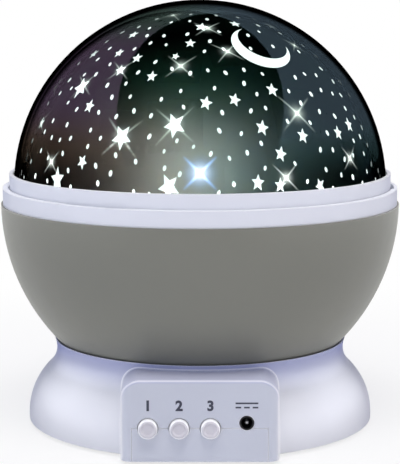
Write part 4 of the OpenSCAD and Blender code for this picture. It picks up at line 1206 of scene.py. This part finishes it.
# %% Make the ink
ink_grey, tree, out = start_material("pad print, dark grey")
place = (add(tree, "TexCoord"), "Object")
pores = add(tree, "TexNoise", {"Vector": place, "Scale": per_mm(0.5), "Detail": 2.0})
tone = add(
    tree, "Mix", {"Factor": (pores, "Fac"), 6: linear("#2E3040"), 7: linear("#464858")}, **COLOURS
)
body = add(tree, "BsdfPrincipled", {"Base Color": (tone, 2), "Roughness": 0.5})
tree.links.new(body.outputs[0], out.inputs["Surface"])
print("all materials:", len(bpy.data.materials))

# %% Draw the numbers and the sign
FACE_Y = float(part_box("base_shell")[0][1])
MARK_Z = 18.3 * MM
DIGIT_HEIGHT = 3.3 * MM
DIGIT_BOLD = 0.042
INK = 0.03 * MM


def number(name, text, x):
    """A number as a flat mesh: the font's outline is filled, scaled to its height, and its
    left-right, up-down axes become X and Z on the panel's face."""
    curve = bpy.data.curves.new(name + "_outline", "FONT")
    curve.body = text
    curve.align_x = "CENTER"
    curve.offset = DIGIT_BOLD
    curve.resolution_u = 6
    drawn = bpy.data.objects.new(name + "_outline", curve)
    scene.collection.objects.link(drawn)
    mesh = drawn.to_mesh()
    flat = np.zeros(len(mesh.vertices) * 3)
    mesh.vertices.foreach_get("co", flat)
    flat = flat.reshape(-1, 3)
    faces = [list(p.vertices) for p in mesh.polygons]
    drawn.to_mesh_clear()
    bpy.data.objects.remove(drawn)
    size = DIGIT_HEIGHT / np.ptp(flat[:, 1])
    middle = (flat[:, 0].min() + flat[:, 0].max()) / 2
    flat = (flat - [middle, flat[:, 1].min(), 0]) * size
    foot = MARK_Z - DIGIT_HEIGHT / 2
    points = np.stack([x + flat[:, 0], 0 * flat[:, 0] + FACE_Y - INK, foot + flat[:, 1]], -1)
    return make_piece(name, points, faces, smooth=False)


def bars(name, boxes):
    """Flat bars on the panel's face, each from its low x, z to its high x, z in millimetres."""
    b = np.array(boxes) * MM
    x, z = b[:, [0, 2, 2, 0]], b[:, [1, 1, 3, 3]]
    points = np.stack([x, 0 * x + FACE_Y - INK, z], -1).reshape(-1, 3)
    faces = (np.arange(4)[None] + 4 * np.arange(len(b))[:, None]).tolist()
    return make_piece(name, points, faces, smooth=False)


print("the panel's face lies at y =", round(FACE_Y / MM, 2), "mm")

# %% Print the numbers and the sign
# The sign in millimetres: the bar, then each dash, by half its length and its low and high side.
BAR_HALF, BAR_LOW, BAR_HIGH = 3.4, 18.8, 19.3
DASH_HALF, DASH_LOW, DASH_HIGH = 0.85, 17.5, 18.0
DASH_STEP = 2.55

marks = []
for i in (1, 2, 3):
    low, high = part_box(f"button_{i}")
    marks.append(number(f"mark_{i}", str(i), float(low[0] + high[0]) / 2))
jack_low, jack_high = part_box("dc_jack")
jack_x = float(jack_low[0] + jack_high[0]) / 2 / MM
sign = [[jack_x - BAR_HALF, BAR_LOW, jack_x + BAR_HALF, BAR_HIGH]]
for step in (-DASH_STEP, 0, DASH_STEP):
    sign.append([jack_x + step - DASH_HALF, DASH_LOW, jack_x + step + DASH_HALF, DASH_HIGH])
marks.append(bars("mark_dc", sign))
for mark in marks:
    mark.data.materials.append(ink_grey)
    ink_layer = mark.modifiers.new("ink", "SOLIDIFY")
    ink_layer.thickness = INK * 0.9
    ink_layer.offset = -1
    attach(mark, "base")
print("marks:", [m.name for m in marks])
